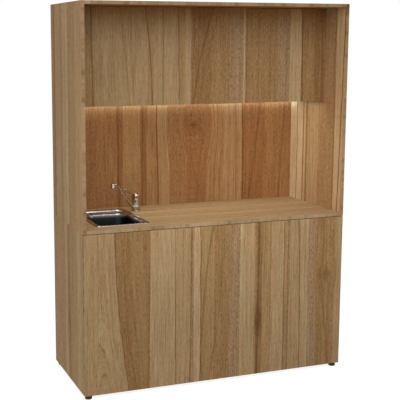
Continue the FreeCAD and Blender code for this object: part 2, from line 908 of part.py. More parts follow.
def tap_nut():
    low = worktop_under - tap_washer_thick - tap_nut_height
    corners = []
    for n in range(nut_sides + 1):
        turn = 2 * math.pi * n / nut_sides
        x = tap_x + tap_nut_radius * math.cos(turn)
        y = tap_y + tap_nut_radius * math.sin(turn)
        corners.append(vec(x, y, low))
    nut = Part.Face(Part.makePolygon(corners)).extrude(vec(0, 0, tap_nut_height))
    hole = rod(shank_radius + tap_fit, tap_nut_height + 2 * overrun, vec(tap_x, tap_y, low - overrun))
    return nut.cut(hole)


def cartridge():
    return rod(cartridge_radius, cartridge_height, vec(tap_x, tap_y, at_tap(cartridge_floor)))


spout_turn = math.radians(spout_turn_deg)
spout_way = vec(math.cos(spout_turn), math.sin(spout_turn), 0)
spout_cross = up.cross(spout_way)


def along(reach, height, across=0):
    """A point that lies reach out along the spout's direction and across it, height above the worktop."""
    return vec(tap_x, tap_y, at_tap(height)) + spout_way * reach + spout_cross * across


def spout_path():
    """A straight rise out of the swivel ring's wall, one bend, then level to the nozzle."""
    angle = math.atan(spout_rise)
    elbow_reach = spout_root_reach + (spout_top - spout_root_height) / spout_rise
    cut_back = spout_bend_radius * math.tan(angle / 2)
    start = along(spout_root_reach, spout_root_height)
    bend_start = along(elbow_reach - cut_back * math.cos(angle), spout_top - cut_back * math.sin(angle))
    bend_end = along(elbow_reach + cut_back, spout_top)
    half = angle / 2
    centre_reach = elbow_reach + cut_back
    centre_height = spout_top - spout_bend_radius
    middle = along(centre_reach - spout_bend_radius * math.sin(half),
                   centre_height + spout_bend_radius * math.cos(half))
    end = along(spout_reach, spout_top)
    edges = [
        Part.LineSegment(start, bend_start).toShape(),
        Part.Arc(bend_start, middle, bend_end).toShape(),
        Part.LineSegment(bend_end, end).toShape(),
    ]
    return Part.Wire(edges), start, bend_start - start


def spout_tube(radius):
    path, start, way = spout_path()
    ring = Part.Wire(Part.makeCircle(radius, start, way))
    return path.makePipeShell([ring], True, False)


def tap_spout():
    """The swivel ring with its tube and nozzle, hollow from ring to outlet."""
    low = tap_base_height + tap_running_gap
    high = swivel_top - tap_running_gap
    bulge = swivel_radius + swivel_bulge
    outline = [
        (0, low),
        (swivel_radius, low),
        (bulge, low + swivel_bulge * 2),
        (bulge, high - swivel_bulge * 2),
        (swivel_radius, high),
        (0, high),
    ]
    ring = lathe([(r, at_tap(h)) for r, h in outline], tap_x, tap_y)
    nozzle = rod(nozzle_radius, nozzle_high - nozzle_low, along(spout_reach, nozzle_low))
    nozzle = nozzle.makeFillet(nozzle_break, edges_at(nozzle, at_tap(nozzle_high)))
    skin = spout_tube(spout_radius).fuse([ring, nozzle]).removeSplitter()
    water = spout_tube(spout_radius - spout_wall)
    outlet = rod(nozzle_bore_radius, nozzle_bore_depth, along(spout_reach, nozzle_low))
    core = rod(tap_core_radius + tap_fit, high - low + 2 * overrun, vec(tap_x, tap_y, at_tap(low) - overrun))
    return skin.cut([water, outlet, core])


def aerator():
    low = nozzle_low - aerator_proud
    insert = rod(aerator_radius, aerator_height, along(spout_reach, low))
    holes = [rod(aerator_hole_radius, aerator_height + 2 * overrun, along(spout_reach, low - overrun))]
    for n in range(aerator_hole_count):
        turn = 2 * math.pi * n / aerator_hole_count
        place = along(spout_reach + aerator_hole_circle * math.cos(turn), low - overrun,
                      aerator_hole_circle * math.sin(turn))
        holes.append(rod(aerator_hole_radius, aerator_height + 2 * overrun, place))
    return insert.cut(holes)


def slot_block(reach0, reach1, half, low, high):
    """An upright slab whose plan lies square to the spout's direction."""
    corners = [along(reach0, low, -half), along(reach1, low, -half), along(reach1, low, half),
               along(reach0, low, half), along(reach0, low, -half)]
    return Part.Face(Part.makePolygon(corners)).extrude(vec(0, 0, high - low))


def cross_rod(radius, half, height):
    return rod(radius, 2 * half, along(0, height, -half), spout_cross)


def tilt_lever(shape):
    """Turns what is drawn level at the lever's height up to the lever's own slope."""
    shape.rotate(along(0, lever_axis_height), spout_cross, -lever_rise_deg)
    return shape


def lever_slab(side, half):
    """A slab with the given side outline, as distances along and above the lever's line."""
    points = [along(reach, lever_axis_height + height, -half) for reach, height in side]
    slab = Part.Face(Part.makePolygon(points + points[:1])).extrude(spout_cross * (2 * half))
    return tilt_lever(slab)


def tap_dome():
    """The cap that turns for warmer or colder water, slotted for the lever's root."""
    low = body_top + dome_seat_gap
    outline = [
        (0, low - spigot_length),
        (cartridge_bore_radius - tap_fit, low - spigot_length),
        (cartridge_bore_radius - tap_fit, low),
        (dome_radius, low),
        (dome_radius, dome_top),
        (0, dome_top),
    ]
    dome = lathe([(r, at_tap(h)) for r, h in outline], tap_x, tap_y)
    dome = dome.makeFillet(dome_fillet, edges_at(dome, at_tap(dome_top)))
    slot_half = lever_root_width / 2 + lever_root_gap
    pocket = slot_block(-slot_back, slot_front, slot_half, slot_floor, dome_top + overrun)
    floor = -lever_root_thick / 2 - lever_root_gap
    side = [(0, floor), (lever_reach, floor), (lever_reach, lever_reach), (0, lever_reach)]
    mouth = lever_slab(side, slot_half)
    hole = cross_rod(pivot_pin_radius, dome_radius + overrun, pivot_height)
    return dome.cut([pocket, mouth, hole])


def lever_pin():
    """The pin is as long as the dome is wide at its height, cut to the dome's round."""
    pin = cross_rod(pivot_pin_radius, dome_radius, pivot_height)
    round_face = rod(dome_radius, dome_top, along(0, 0))
    return pin.common(round_face)


def tap_lever():
    """A handle that thins towards its round tip, on a boss round the pivot pin inside the dome."""
    root_half = lever_root_width / 2
    tail = -lever_tail
    tip = lever_reach - lever_tip_half
    low = lever_axis_height - lever_root_thick
    front = [along(tail, low, -root_half), along(tip, low, -lever_tip_half)]
    far = along(lever_reach, low)
    back = [along(tip, low, lever_tip_half), along(tail, low, root_half)]
    edges = [
        Part.LineSegment(front[0], front[1]).toShape(),
        Part.Arc(front[1], far, back[0]).toShape(),
        Part.LineSegment(back[0], back[1]).toShape(),
        Part.LineSegment(back[1], front[0]).toShape(),
    ]
    plan = tilt_lever(Part.Face(Part.Wire(edges)).extrude(vec(0, 0, 2 * lever_root_thick)))
    root_up = lever_root_thick / 2
    tip_up = lever_tip_thick / 2
    side = [(tail, -root_up), (lever_reach, -tip_up), (lever_reach, tip_up), (tail, root_up)]
    handle = plan.common(lever_slab(side, lever_root_width))
    handle = handle.makeFillet(lever_edge_break, handle.Edges)
    boss = cross_rod(lever_boss_radius, root_half, pivot_height)
    hole = cross_rod(pivot_pin_radius + pivot_fit, lever_root_width, pivot_height)
    return handle.fuse([boss]).removeSplitter().cut(hole)


# All nodes
nodes = {
    "lower_side_left": [lower_side(left_face, left_inner)],
    "lower_side_right": [lower_side(right_inner, right_face)],
    "lower_bottom": [lower_bottom()],
    "lower_dividers": [lower_divider(x) for x in lower_divider_places],
    "top_rails": top_rails(),
    "lower_back": [lower_back()],
    "lower_shelves": [lower_shelf(bay) for bay in lower_bays[1:]],
    "shelf_pins": lower_pins + upper_pins,
    "worktop": [worktop()],
    "upper_side_left": [upper_side(left_face, left_inner, worktop_under)],
    "upper_side_right": [upper_side(right_inner, right_face, worktop_level)],
    "top_panel": [board(left_inner, right_inner, front_face, back_face, ceiling, unit_height)],
    "splash_back": [splash_back()],
    "wall_bottom": [wall_bottom()],
    "upper_dividers": [upper_divider(x) for x in upper_divider_places],
    "upper_shelves": [upper_shelf(bay) for bay in upper_bays],
    "light_profile": [light_profile()],
    "light_diffuser": [light_diffuser()],
    "light_circuit": [light_circuit()],
    "hinge_arms": (hinge_arms(lower_doors, front_face, lower_levels)
                   + hinge_arms(upper_doors, upper_door_front, upper_levels)),
    "foot_sockets": [foot_socket(x, y) for x, y in foot_places()],
    "sink": [sink()],
    "sink_clips": [sink_clip(*place) for place in clip_places()],
    "waste_flange": [waste_flange()],
    "strainer": [strainer()],
    "tail_pipe": [tail_pipe()],
    "bottle_trap": [bottle_trap()],
    "trap_nuts": [tail_nut(), trap_cap(), outlet_nut()],
    "waste_pipe": [waste_pipe()],
    "tap_body": [tap_body()],
    "tap_fixing": [tap_washer(), tap_nut()],
    "cartridge": [cartridge()],
    "tap_spout": [tap_spout()],
    "aerator": [aerator()],
    "tap_dome": [tap_dome()],
    "lever_pin": [lever_pin()],
    "tap_lever": [tap_lever()],
}

door_sets = (
    (lower_doors, front_face, lower_door_low, lower_door_high, lower_levels, carcass_front,
     (rail_under + worktop_under) / 2),
    (upper_doors, upper_door_front, upper_door_low, upper_door_high, upper_levels, upper_front,
     (upper_under + upper_floor) / 2),
)
sleeves = []
for doors, axis_y, low, high, levels, board_front, latch_z in door_sets:
    for one in doors:
        name, edge_x, free_x, panel_x, side = one
        x = latch_place(free_x, side)
        nodes["door_" + name] = [door(edge_x, free_x, axis_y, low, high, levels, side)]
        nodes["hinge_cups_" + name] = hinge_cups(one, axis_y, levels)
        nodes["plunger_" + name] = [latch_plunger(x, axis_y + door_thick, latch_z)]
        sleeves.append(latch_sleeve(x, board_front, latch_z))
nodes["push_latches"] = sleeves

for (x, y), word in zip(foot_places(), ("front_left", "front_right", "rear_left", "rear_right")):
    nodes["foot_" + word] = [foot(x, y)]

os.makedirs("parts", exist_ok=True)
for name, solids in nodes.items():
    shape = solids[0] if len(solids) == 1 else Part.makeCompound(solids)
    shape.exportStep("parts/" + name + ".step")
    count = len(shape.Solids)
    print(name, count, "solids, valid" if shape.isValid() else "solids, NOT VALID", round(shape.Volume))
print(len(nodes), "nodes")
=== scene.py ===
import json
import math

import bmesh
import bpy
import numpy as np
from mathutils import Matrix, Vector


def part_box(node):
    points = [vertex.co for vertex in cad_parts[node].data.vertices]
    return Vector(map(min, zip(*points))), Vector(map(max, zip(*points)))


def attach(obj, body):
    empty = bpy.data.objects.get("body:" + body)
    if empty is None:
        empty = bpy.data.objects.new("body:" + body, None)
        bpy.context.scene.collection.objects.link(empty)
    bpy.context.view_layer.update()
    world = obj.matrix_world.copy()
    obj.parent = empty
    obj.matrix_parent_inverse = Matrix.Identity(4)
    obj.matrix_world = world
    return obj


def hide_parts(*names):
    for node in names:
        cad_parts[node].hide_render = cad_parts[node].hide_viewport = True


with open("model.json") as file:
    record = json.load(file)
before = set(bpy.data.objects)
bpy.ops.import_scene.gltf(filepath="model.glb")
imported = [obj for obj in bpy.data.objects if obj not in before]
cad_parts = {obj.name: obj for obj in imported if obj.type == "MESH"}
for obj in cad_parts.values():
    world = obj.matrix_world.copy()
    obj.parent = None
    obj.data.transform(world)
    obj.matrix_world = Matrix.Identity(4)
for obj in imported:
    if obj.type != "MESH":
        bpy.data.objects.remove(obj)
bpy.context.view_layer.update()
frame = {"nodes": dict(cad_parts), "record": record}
cadNodes = frame["nodes"]
print("frame loaded,", len(cadNodes), "nodes")


def colour(red, green, blue):
    # a display colour, 0 to 255, as the linear colour that a shader takes
    shares = np.array([red, green, blue]) / 255.0
    linear = np.where(shares <= 0.04045, shares / 12.92, ((shares + 0.055) / 1.055) ** 2.4)
    return (*linear.tolist(), 1.0)


def addObject(name, data):
    made = bpy.data.objects.new(name, data)
    bpy.context.scene.collection.objects.link(made)
    return made


def newMaterial(name):
    material = bpy.data.materials.new(name)
    material.use_nodes = True
    return material, material.node_tree, material.node_tree.nodes["Principled BSDF"]


# Short forms for shader nodes. A value is a number, a colour or another node's socket.
def feed(tree, value, socket):
    if isinstance(value, bpy.types.NodeSocket):
        tree.links.new(value, socket)
    else:
        socket.default_value = value


def calc(tree, operation, *values):
    node = tree.nodes.new("ShaderNodeMath")
    node.operation = operation
    for value, socket in zip(values, node.inputs):
        feed(tree, value, socket)
    return node.outputs[0]


def times(tree, first, second):
    return calc(tree, "MULTIPLY", first, second)


def plus(tree, first, second):
    return calc(tree, "ADD", first, second)


def minus(tree, first, second):
    return calc(tree, "SUBTRACT", first, second)


def vector(tree, x, y, z):
    node = tree.nodes.new("ShaderNodeCombineXYZ")
    for value, socket in zip((x, y, z), node.inputs):
        feed(tree, value, socket)
    return node.outputs[0]


def axes(tree, kind, output):
    # X, Y and Z of what an input node gives, such as the object's coordinates
    node = tree.nodes.new("ShaderNodeSeparateXYZ")
    tree.links.new(tree.nodes.new(kind).outputs[output], node.inputs[0])
    return node.outputs


def noise(tree, place, scale, detail=2.0, roughness=0.5):
    node = tree.nodes.new("ShaderNodeTexNoise")
    for value, name in ((place, "Vector"), (scale, "Scale"), (detail, "Detail"), (roughness, "Roughness")):
        feed(tree, value, node.inputs[name])
    return node.outputs["Fac"]


def ramped(tree, value, low, high, outLow=0.0, outHigh=1.0, smooth=True):
    node = tree.nodes.new("ShaderNodeMapRange")
    node.interpolation_type = "SMOOTHSTEP" if smooth else "LINEAR"
    names = ("Value", "From Min", "From Max", "To Min", "To Max")
    for given, name in zip((value, low, high, outLow, outHigh), names):
        feed(tree, given, node.inputs[name])
    return node.outputs["Result"]


def blend(tree, factor, first, second, mode="MIX"):
    node = tree.nodes.new("ShaderNodeMix")
    node.data_type = "RGBA"
    node.blend_type = mode
    node.clamp_factor = True
    feed(tree, factor, node.inputs["Factor"])
    feed(tree, first, node.inputs[6])    # the colour sockets of a Mix node
    feed(tree, second, node.inputs[7])
    return node.outputs[2]


def scaledTint(tree, tint, tone):
    # a display colour times a tone that changes over the surface
    node = tree.nodes.new("ShaderNodeVectorMath")
    node.operation = "SCALE"
    node.inputs[0].default_value = colour(*tint)[:3]
    tree.links.new(tone, node.inputs["Scale"])
    return node.outputs[0]


def addBump(tree, shader, height, strength, distance):
    bump = tree.nodes.new("ShaderNodeBump")
    bump.inputs["Strength"].default_value = strength
    bump.inputs["Distance"].default_value = distance
    tree.links.new(height, bump.inputs["Height"])
    tree.links.new(bump.outputs["Normal"], shader.inputs["Normal"])


def mixShaders(tree, share, first, second, surface):
    mix = tree.nodes.new("ShaderNodeMixShader")
    for source, socket in zip((share, first.outputs[0], second.outputs[0]), mix.inputs):
        tree.links.new(source, socket)
    tree.links.new(mix.outputs[0], surface)


def newGroup(name, inputs, outputs):
    group = bpy.data.node_groups.new(name, "ShaderNodeTree")
    for label, value in inputs:
        socket = group.interface.new_socket(label, in_out="INPUT", socket_type="NodeSocketFloat")
        socket.default_value = value
    for label in outputs:
        group.interface.new_socket(label, in_out="OUTPUT", socket_type="NodeSocketFloat")
    start = group.nodes.new("NodeGroupInput")
    end = group.nodes.new("NodeGroupOutput")
    return group, start.outputs[:len(inputs)], end.inputs


def placeGroup(tree, group, **values):
    node = tree.nodes.new("ShaderNodeGroup")
    node.node_tree = group
    for label, value in values.items():
        feed(tree, value, node.inputs[label])
    return node.outputs


# Camera, backdrop and lamps. Metres, as everywhere in this file unless a name or a note says millimetres.
stageLook = {
    "cameraPlace": (-1.976623, -4.616004, 1.834533),
    "cameraTurnDegrees": (81.5431, 0.0434, -19.9116),
    "lensMillimetres": 82.099,
    "sensorMillimetres": 36.0,
    "shift": (0.1343, -0.0587),
    "floorHalf": 14.0,
    "floorColour": (0.78, 0.78, 0.78, 1.0),
    "floorRough": 0.95,
    "floorWhite": 1.75,
    "floorWhiteShare": 0.5,
    "worldStrength": 0.4,
    "mirroredSize": 2.0,    # smaller lamps leave no glint on the metal
}

# Each lamp: where it stands, what it points at, its edge, watts, tint and beam. A depth is a second edge.
lampLooks = {
    "keyLight": {"place": (-2.0, -4.6, 3.6), "target": (0.0, 0.0, 0.9), "size": 3.4, "power": 132.0,
                 "tint": (1.0, 0.985, 0.96), "beamDegrees": 180.0},
    "topLight": {"place": (-0.6, -3.0, 5.0), "target": (0.0, 0.0, 1.0), "size": 2.4, "power": 70.0,
                 "tint": (1.0, 0.985, 0.96), "beamDegrees": 180.0},
    "nicheLight": {"place": (-2.5, -2.1, 1.75), "target": (0.75, -0.02, 1.15), "size": 0.5, "power": 1.9,
                   "tint": (1.0, 0.93, 0.82), "beamDegrees": 30.0},
    "worktopLight": {"place": (0.0, 0.02, 1.492), "target": (0.0, 0.02, 0.9), "size": 1.44, "depth": 0.3,
                     "power": 2.2, "tint": (1.0, 0.94, 0.86), "beamDegrees": 150.0},
    "stripGlow": {"place": (0.0, 0.256, 1.487), "target": (0.0, 0.282, 1.483), "size": 1.44, "depth": 0.012,
                  "power": 0.62, "tint": (0.36, 0.7, 1.0), "beamDegrees": 180.0},
    "sideGlow": {"place": (0.7, 0.13, 1.486), "target": (0.732, 0.13, 1.48), "size": 0.3, "depth": 0.01,
                 "power": 0.016, "tint": (0.75, 0.92, 1.0), "beamDegrees": 180.0},
    "cornerGlow": {"place": (0.686, 0.25, 1.476), "target": (0.732, 0.256, 1.462), "size": 0.05,
                   "depth": 0.02, "power": 0.034, "tint": (0.66, 0.9, 1.0), "beamDegrees": 180.0},
}


def isBackgroundRay(tree):
    # camera, mirror and glass rays see plain white, all others see the lit colour
    path = tree.nodes.new("ShaderNodeLightPath").outputs
    seen = calc(tree, "MAXIMUM", path["Is Camera Ray"], path["Is Glossy Ray"])
    return calc(tree, "MAXIMUM", seen, path["Is Transmission Ray"])


def buildWorld():
    world = bpy.data.worlds.new("softStudio")
    bpy.context.scene.world = world
    world.use_nodes = True
    tree = world.node_tree
    tree.nodes.clear()
    output = tree.nodes.new("ShaderNodeOutputWorld")
    soft = tree.nodes.new("ShaderNodeBackground")
    soft.inputs["Strength"].default_value = stageLook["worldStrength"]
    white = tree.nodes.new("ShaderNodeBackground")
    for background in (soft, white):
        background.inputs["Color"].default_value = (1.0, 1.0, 1.0, 1.0)
    mixShaders(tree, isBackgroundRay(tree), soft, white, output.inputs["Surface"])


def buildFloor():
    half = stageLook["floorHalf"]
    mesh = bpy.data.meshes.new("floor")
    corners = [(-half, -half, 0), (half, -half, 0), (half, half, 0), (-half, half, 0)]
    mesh.from_pydata(corners, [], [(0, 1, 2, 3)])
    floor = addObject("floor", mesh)
    material, tree, shader = newMaterial("paleFloor")
    shader.inputs["Base Color"].default_value = stageLook["floorColour"]
    shader.inputs["Roughness"].default_value = stageLook["floorRough"]
    shader.inputs["Specular IOR Level"].default_value = 0.0
    # a share of what the camera sees is plain white, so the object's shadow stays, but soft
    white = tree.nodes.new("ShaderNodeEmission")
    white.inputs["Strength"].default_value = stageLook["floorWhite"]
    share = times(tree, isBackgroundRay(tree), stageLook["floorWhiteShare"])
    mixShaders(tree, share, shader, white, tree.nodes["Material Output"].inputs["Surface"])
    mesh.materials.append(material)


def buildLights():
    for name, look in lampLooks.items():
        lamp = bpy.data.lights.new(name, "AREA")
        lamp.shape = "RECTANGLE"
        lamp.size = look["size"]
        lamp.size_y = look.get("depth", look["size"])
        lamp.energy = look["power"]
        lamp.color = look["tint"]
        lamp.spread = math.radians(look["beamDegrees"])
        holder = addObject(name, lamp)
        holder.visible_glossy = look["size"] > stageLook["mirroredSize"]
        place = np.array(look["place"])
        way = np.array(look["target"]) - place
        holder.location = place
        turn = math.atan2(way[1], way[0]) - math.pi / 2 if np.hypot(way[0], way[1]) > 0 else 0.0
        holder.rotation_euler = (math.acos(-way[2] / np.linalg.norm(way)), 0.0, turn)


def buildCamera():
    data = bpy.data.cameras.new("camera")
    data.sensor_width = stageLook["sensorMillimetres"]
    data.lens = stageLook["lensMillimetres"]
    data.shift_x, data.shift_y = stageLook["shift"]
    camera = addObject("camera", data)
    camera.location = stageLook["cameraPlace"]
    camera.rotation_euler = [math.radians(turn) for turn in stageLook["cameraTurnDegrees"]]
    bpy.context.scene.camera = camera


bpy.context.scene.view_settings.view_transform = "Standard"
buildWorld()
buildFloor()
buildLights()
buildCamera()
print("stage ready")


# Wood grain. Each layer is a stretched noise: cells per millimetre across the boards and along them,
# its place in the noise, detail and roughness.
grainLayers = {
    "bands": (0.010, 0.0007, 0.0, 1.0, 0.4),
    "swell": (0.02, 0.003, 4.0, 2.0, 0.5),
    "streak": (0.20, 0.0045, 9.0, 2.0, 0.6),
    "broadStreak": (0.075, 0.002, 11.0, 1.0, 0.5),
    "fineStreak": (0.42, 0.010, 13.0, 1.0, 0.5),
    "pore": (0.50, 0.030, 17.0, 2.0, 0.6),
    "chatter": (0.21, 0.060, 23.0, 1.0, 0.6),
    "hue": (0.085, 0.0022, 31.0, 4.0, 0.65),
}
grainShares = {
    "bandFolds": 60.0, "swell": (0.45, 0.7), "streak": 1.0, "broadStreak": 0.8, "fineStreak": 1.1,
    "pore": (0.46, 0.66), "poreMean": 0.4, "hue": (0.34, 0.66),
}


def buildGrain():
    # Tone = 1 + folded bands * Figure + three streaks * Streaks - (pores - their mean) * Pores + chatter
    group, (across, along, seed, figure, streaks, pores, chatter, chatterDepth), result = newGroup(
        "woodGrain",
        (("Across", 0.0), ("Along", 0.0), ("Seed", 0.0), ("Figure", 0.1), ("Streaks", 0.1), ("Pores", 0.1),
         ("Chatter", 0.0), ("ChatterDepth", 0.2)),
        ("Tone", "Depth", "Hue"))

    def layer(name):
        wide, tall, shift, detail, roughness = grainLayers[name]
        place = vector(group, times(group, across, wide), times(group, along, tall), plus(group, seed, shift))
        return noise(group, place, 1.0, detail, roughness)

    def centred(name, amount):
        return times(group, minus(group, layer(name), 0.5), amount)

    # growth lines: a slow, long noise, folded into even bands by a sine
    bands = calc(group, "SINE", times(group, layer("bands"), grainShares["bandFolds"]))
    swell = ramped(group, layer("swell"), *grainShares["swell"])
    tone = plus(group, 1.0, times(group, times(group, bands, swell), figure))
    # streaks of three widths, all very long
    first, second, third = (centred(name, grainShares[name])
                            for name in ("streak", "broadStreak", "fineStreak"))
    tone = plus(group, tone, times(group, plus(group, plus(group, first, second), third), streaks))
    # pores, short dark dashes, and a coarser chatter on the planks that have it
    pore = ramped(group, layer("pore"), *grainShares["pore"])
    tone = minus(group, tone, times(group, minus(group, pore, grainShares["poreMean"]), pores))
    mottle = times(group, centred("chatter", chatterDepth), chatter)
    feed(group, plus(group, tone, mottle), result["Tone"])
    feed(group, pore, result["Depth"])
    feed(group, ramped(group, layer("hue"), *grainShares["hue"]), result["Hue"])
    return group


# A dark line that runs from one place across the board to another, with a bow between. Millimetres.
seamLook = {
    "wander": 14.0, "wanderPace": 0.006, "fade": (0.2, 0.6, 0.45, 1.0), "fadePace": 0.012, "fadeShift": 3.0,
    "core": 0.15,
}


def buildSeam():
    # centre = Foot + (Head - Foot) * share + Bow * 4 * share * (1 - share) + a slow wander.
    # Mask = 1 near the centre, falling to 0 at Width from it, times a slow fade.
    group, (across, along, foot, head, low, high, bow, width), result = newGroup(
        "darkLine",
        (("Across", 0.0), ("Along", 0.0), ("Foot", 0.0), ("Head", 0.0), ("Low", 0.0), ("High", 1000.0),
         ("Bow", 0.0), ("Width", 6.0)),
        ("Mask",))

    def slowNoise(start, pace, shift):
        return noise(group, vector(group, start, times(group, along, pace), shift), 1.0)

    share = ramped(group, along, low, high, smooth=False)
    straight = plus(group, foot, times(group, minus(group, head, foot), share))
    hump = times(group, times(group, share, minus(group, 1.0, share)), 4.0)
    centre = plus(group, straight, times(group, bow, hump))
    wander = minus(group, slowNoise(foot, seamLook["wanderPace"], 0.0), 0.5)
    centre = plus(group, centre, times(group, wander, seamLook["wander"]))
    away = calc(group, "ABSOLUTE", minus(group, across, centre))
    mask = ramped(group, away, times(group, width, seamLook["core"]), width, 1.0, 0.0)
    fade = ramped(group, slowNoise(head, seamLook["fadePace"], seamLook["fadeShift"]), *seamLook["fade"])
    feed(group, times(group, mask, fade), result["Mask"])
    return group


# A knot: a dark oval with rings, and a push that parts the grain round it.
knotLook = {
    "roughPace": (1.6, 1.2), "roughShift": 5.0, "roughScale": 1.5, "roughDetail": 3.0, "roughDepth": 0.9,
    "rings": 7.5, "ringDepth": 0.3, "edge": (0.25, 1.25), "spread": 0.25, "push": 0.75,
}


def buildKnot():
    # far = distance from the centre in half sizes, roughened. Mask = a soft disc of far * cosine rings.
    # Push = -push * distance across * e to the power of (-spread * distance squared).
    group, (across, along, centreAcross, centreAlong, halfWidth, halfLength), result = newGroup(
        "knot",
        (("Across", 0.0), ("Along", 0.0), ("CentreAcross", 0.0), ("CentreAlong", 0.0), ("HalfWidth", 20.0),
         ("HalfLength", 60.0)),
        ("Mask", "Push"))
    aside = calc(group, "DIVIDE", minus(group, across, centreAcross), halfWidth)
    ahead = calc(group, "DIVIDE", minus(group, along, centreAlong), halfLength)
    square = plus(group, times(group, aside, aside), times(group, ahead, ahead))
    widePace, tallPace = knotLook["roughPace"]
    place = vector(group, times(group, aside, widePace), times(group, ahead, tallPace),
                   knotLook["roughShift"])
    rough = minus(group, noise(group, place, knotLook["roughScale"], knotLook["roughDetail"]), 0.5)
    far = plus(group, calc(group, "SQRT", square), times(group, rough, knotLook["roughDepth"]))
    wave = calc(group, "COSINE", times(group, far, knotLook["rings"]))
    rings = plus(group, times(group, wave, knotLook["ringDepth"]), 1.0 - knotLook["ringDepth"])
    disc = ramped(group, far, *knotLook["edge"], 1.0, 0.0)
    feed(group, times(group, disc, rings), result["Mask"])
    reach = calc(group, "EXPONENT", times(group, square, -knotLook["spread"]))
    push = times(group, times(group, aside, halfWidth), reach)
    feed(group, times(group, push, -knotLook["push"]), result["Push"])
    return group


# A plank edge that leans: moves the planks near one place aside by an amount that grows towards the foot.
leanLook = {"inner": 0.5, "curve": 1.7}


def buildLean():
    # Push = -Shift * (share of the way down) to the power of the curve, within Reach of the centre
    group, (across, along, centre, reach, shift, low, high), result = newGroup(
        "plankLean",
        (("Across", 0.0), ("Along", 0.0), ("Centre", 0.0), ("Reach", 60.0), ("Shift", 0.0), ("Low", 0.0),
         ("High", 800.0)),
        ("Push",))
    away = calc(group, "ABSOLUTE", minus(group, across, centre))
    near = ramped(group, away, times(group, reach, leanLook["inner"]), reach, 1.0, 0.0)
    curve = calc(group, "POWER", ramped(group, along, low, high, 1.0, 0.0, smooth=False), leanLook["curve"])
    feed(group, times(group, times(group, near, curve), times(group, shift, -1.0)), result["Push"])
    return group


grainGroup = buildGrain()
seamGroup = buildSeam()
knotGroup = buildKnot()
leanGroup = buildLean()

# What all wood shares. depthPowers: how much faster green and blue fall than red where the grain is dark.
# turned: how squarely a face has to look forwards or down to count as an edge or an underside.
grainLook = {"Figure": 0.05, "Streaks": 0.67, "Pores": 0.26, "ChatterDepth": 1.25}
woodLook = {
    "lineForce": 1.35, "coolStreak": (249, 255, 248), "warmStreak": (255, 247, 247),
    "depthPowers": (0.92, 1.12, 1.4), "raggedPace": (0.3, 0.09), "ragged": 9.0,
    "rough": (0.56, 0.72), "specular": 0.06, "bump": 0.25, "bumpDistance": 0.0002, "turned": 0.7,
}
woodTones = {
    "cream": (174, 150, 118),
    "pale": (163, 137, 102),
    "light": (156, 130, 96),
    "tan": (151, 124, 90),
    "honey": (146, 117, 80),
    "grey": (142, 114, 84),
    "brown": (138, 107, 71),
    "umber": (131, 99, 64),
    "rust": (134, 99, 64),
    "amber": (141, 108, 72),
    "speckled": (140, 109, 76),
    "line": (92, 58, 30),
    "redLine": (99, 58, 28),
}
# how mottled each tone is
chatterOf = {
    "grey": 1.0, "brown": 0.8, "umber": 0.9, "rust": 0.8, "amber": 0.8, "honey": 0.5, "speckled": 1.0,
    "other": 0.25,
}

# One look for each set of faces, in millimetres. Places across are counted from "low".
# planks: (start, tone).  lines: (across at foot, across at head, bow, width, strength), over the face's "run"
# along it, or over two places of their own at the end.
# knots: (across, along, half width, half length, strength).  leans: (centre, reach, shift, low, high).
# level: a factor on all tones, or three for red, green and blue; it is painted shade on the upper fronts,
# painted light on the sides, and in part painted warm light and shade on the splash.  edge, under: factors on
# the boards' front edges and undersides, under being painted shade.  ripe: (low, high, factors), reached
# slowly between two heights, a painted shadow that darkens and reddens the top of a face.
fronts = {"across": "X", "along": "Z", "low": -750.0, "span": 1500.0}
sides = {"across": "Y", "along": "Z", "low": -300.0, "span": 600.0}
boards = {"across": "Y", "along": "X", "low": -300.0, "span": 600.0, "run": (-750, 750)}
lowerFront = {
    **fronts, "run": (20, 880), "level": 1.0, "seed": 1.0,
    "planks": ((0, "tan"), (166, "umber"), (245, "brown"), (330, "umber"), (353, "light"), (500, "tan"),
               (584, "grey"), (602, "pale"), (643, "honey"), (720, "brown"), (806, "grey"), (872, "pale"),
               (887, "light"), (960, "brown"), (1001, "honey"), (1056, "light"), (1134, "honey"),
               (1150, "grey"), (1170, "tan"), (1232, "light"), (1286, "grey"), (1337, "brown"),
               (1448, "tan")),
    "lines": ((166, 166, 0, 6, 0.6), (584, 592, 0, 7, 0.4), (643, 641, 2, 4, 0.7),
              (650, 715, -12, 9, 0.35, 250, 880), (690, 760, 6, 7, 0.25, 20, 500),
              (978, 984, 0, 12, 0.55, 150, 520), (1056, 1052, 0, 3, 0.3), (1140, 1136, 0, 5, 0.45),
              (1165, 1160, 0, 4, 0.4), (1240, 1222, 6, 5, 0.6), (1270, 1268, 0, 3, 0.25),
              (1425, 1380, 5, 8, 0.3, 20, 400)),
    "knots": ((978, 318, 15, 62, 0.7), (1388, 548, 36, 32, 0.6)),
    "leans": ((205, 150, 76, 20, 880),),
}
# the upper fronts are the lower fronts' wood; their lower level is painted shade for doors set back under the
# top panel
upperFront = {
    **fronts, "run": (1480, 2010), "level": 0.84, "seed": 2.0, "paintedTopShade": (1890, 2010, (0.94, 0.72, 0.5)),
    "planks": ((0, "tan"), (80, "honey"), (124, "tan"), (290, "tan"), (412, "honey"), (452, "tan"),
               (600, "honey"), (627, "light"), (667, "umber"), (780, "brown"), (890, "grey"), (968, "pale"),
               (990, "brown"), (1182, "grey"), (1255, "pale"), (1328, "brown"), (1418, "umber")),
    "lines": ((120, 112, 0, 6, 0.5), (320, 268, 4, 6, 0.35), (352, 300, 0, 4, 0.25), (445, 408, 8, 7, 0.55),
              (600, 594, 0, 6, 0.5), (667, 664, 0, 4, 0.4), (676, 795, -14, 8, 0.45),
              (706, 835, -10, 5, 0.3), (988, 986, 0, 4, 0.5), (1338, 1328, 3, 6, 0.6),
              (1420, 1420, 0, 4, 0.35), (1467, 1462, 0, 6, 0.4)),
}
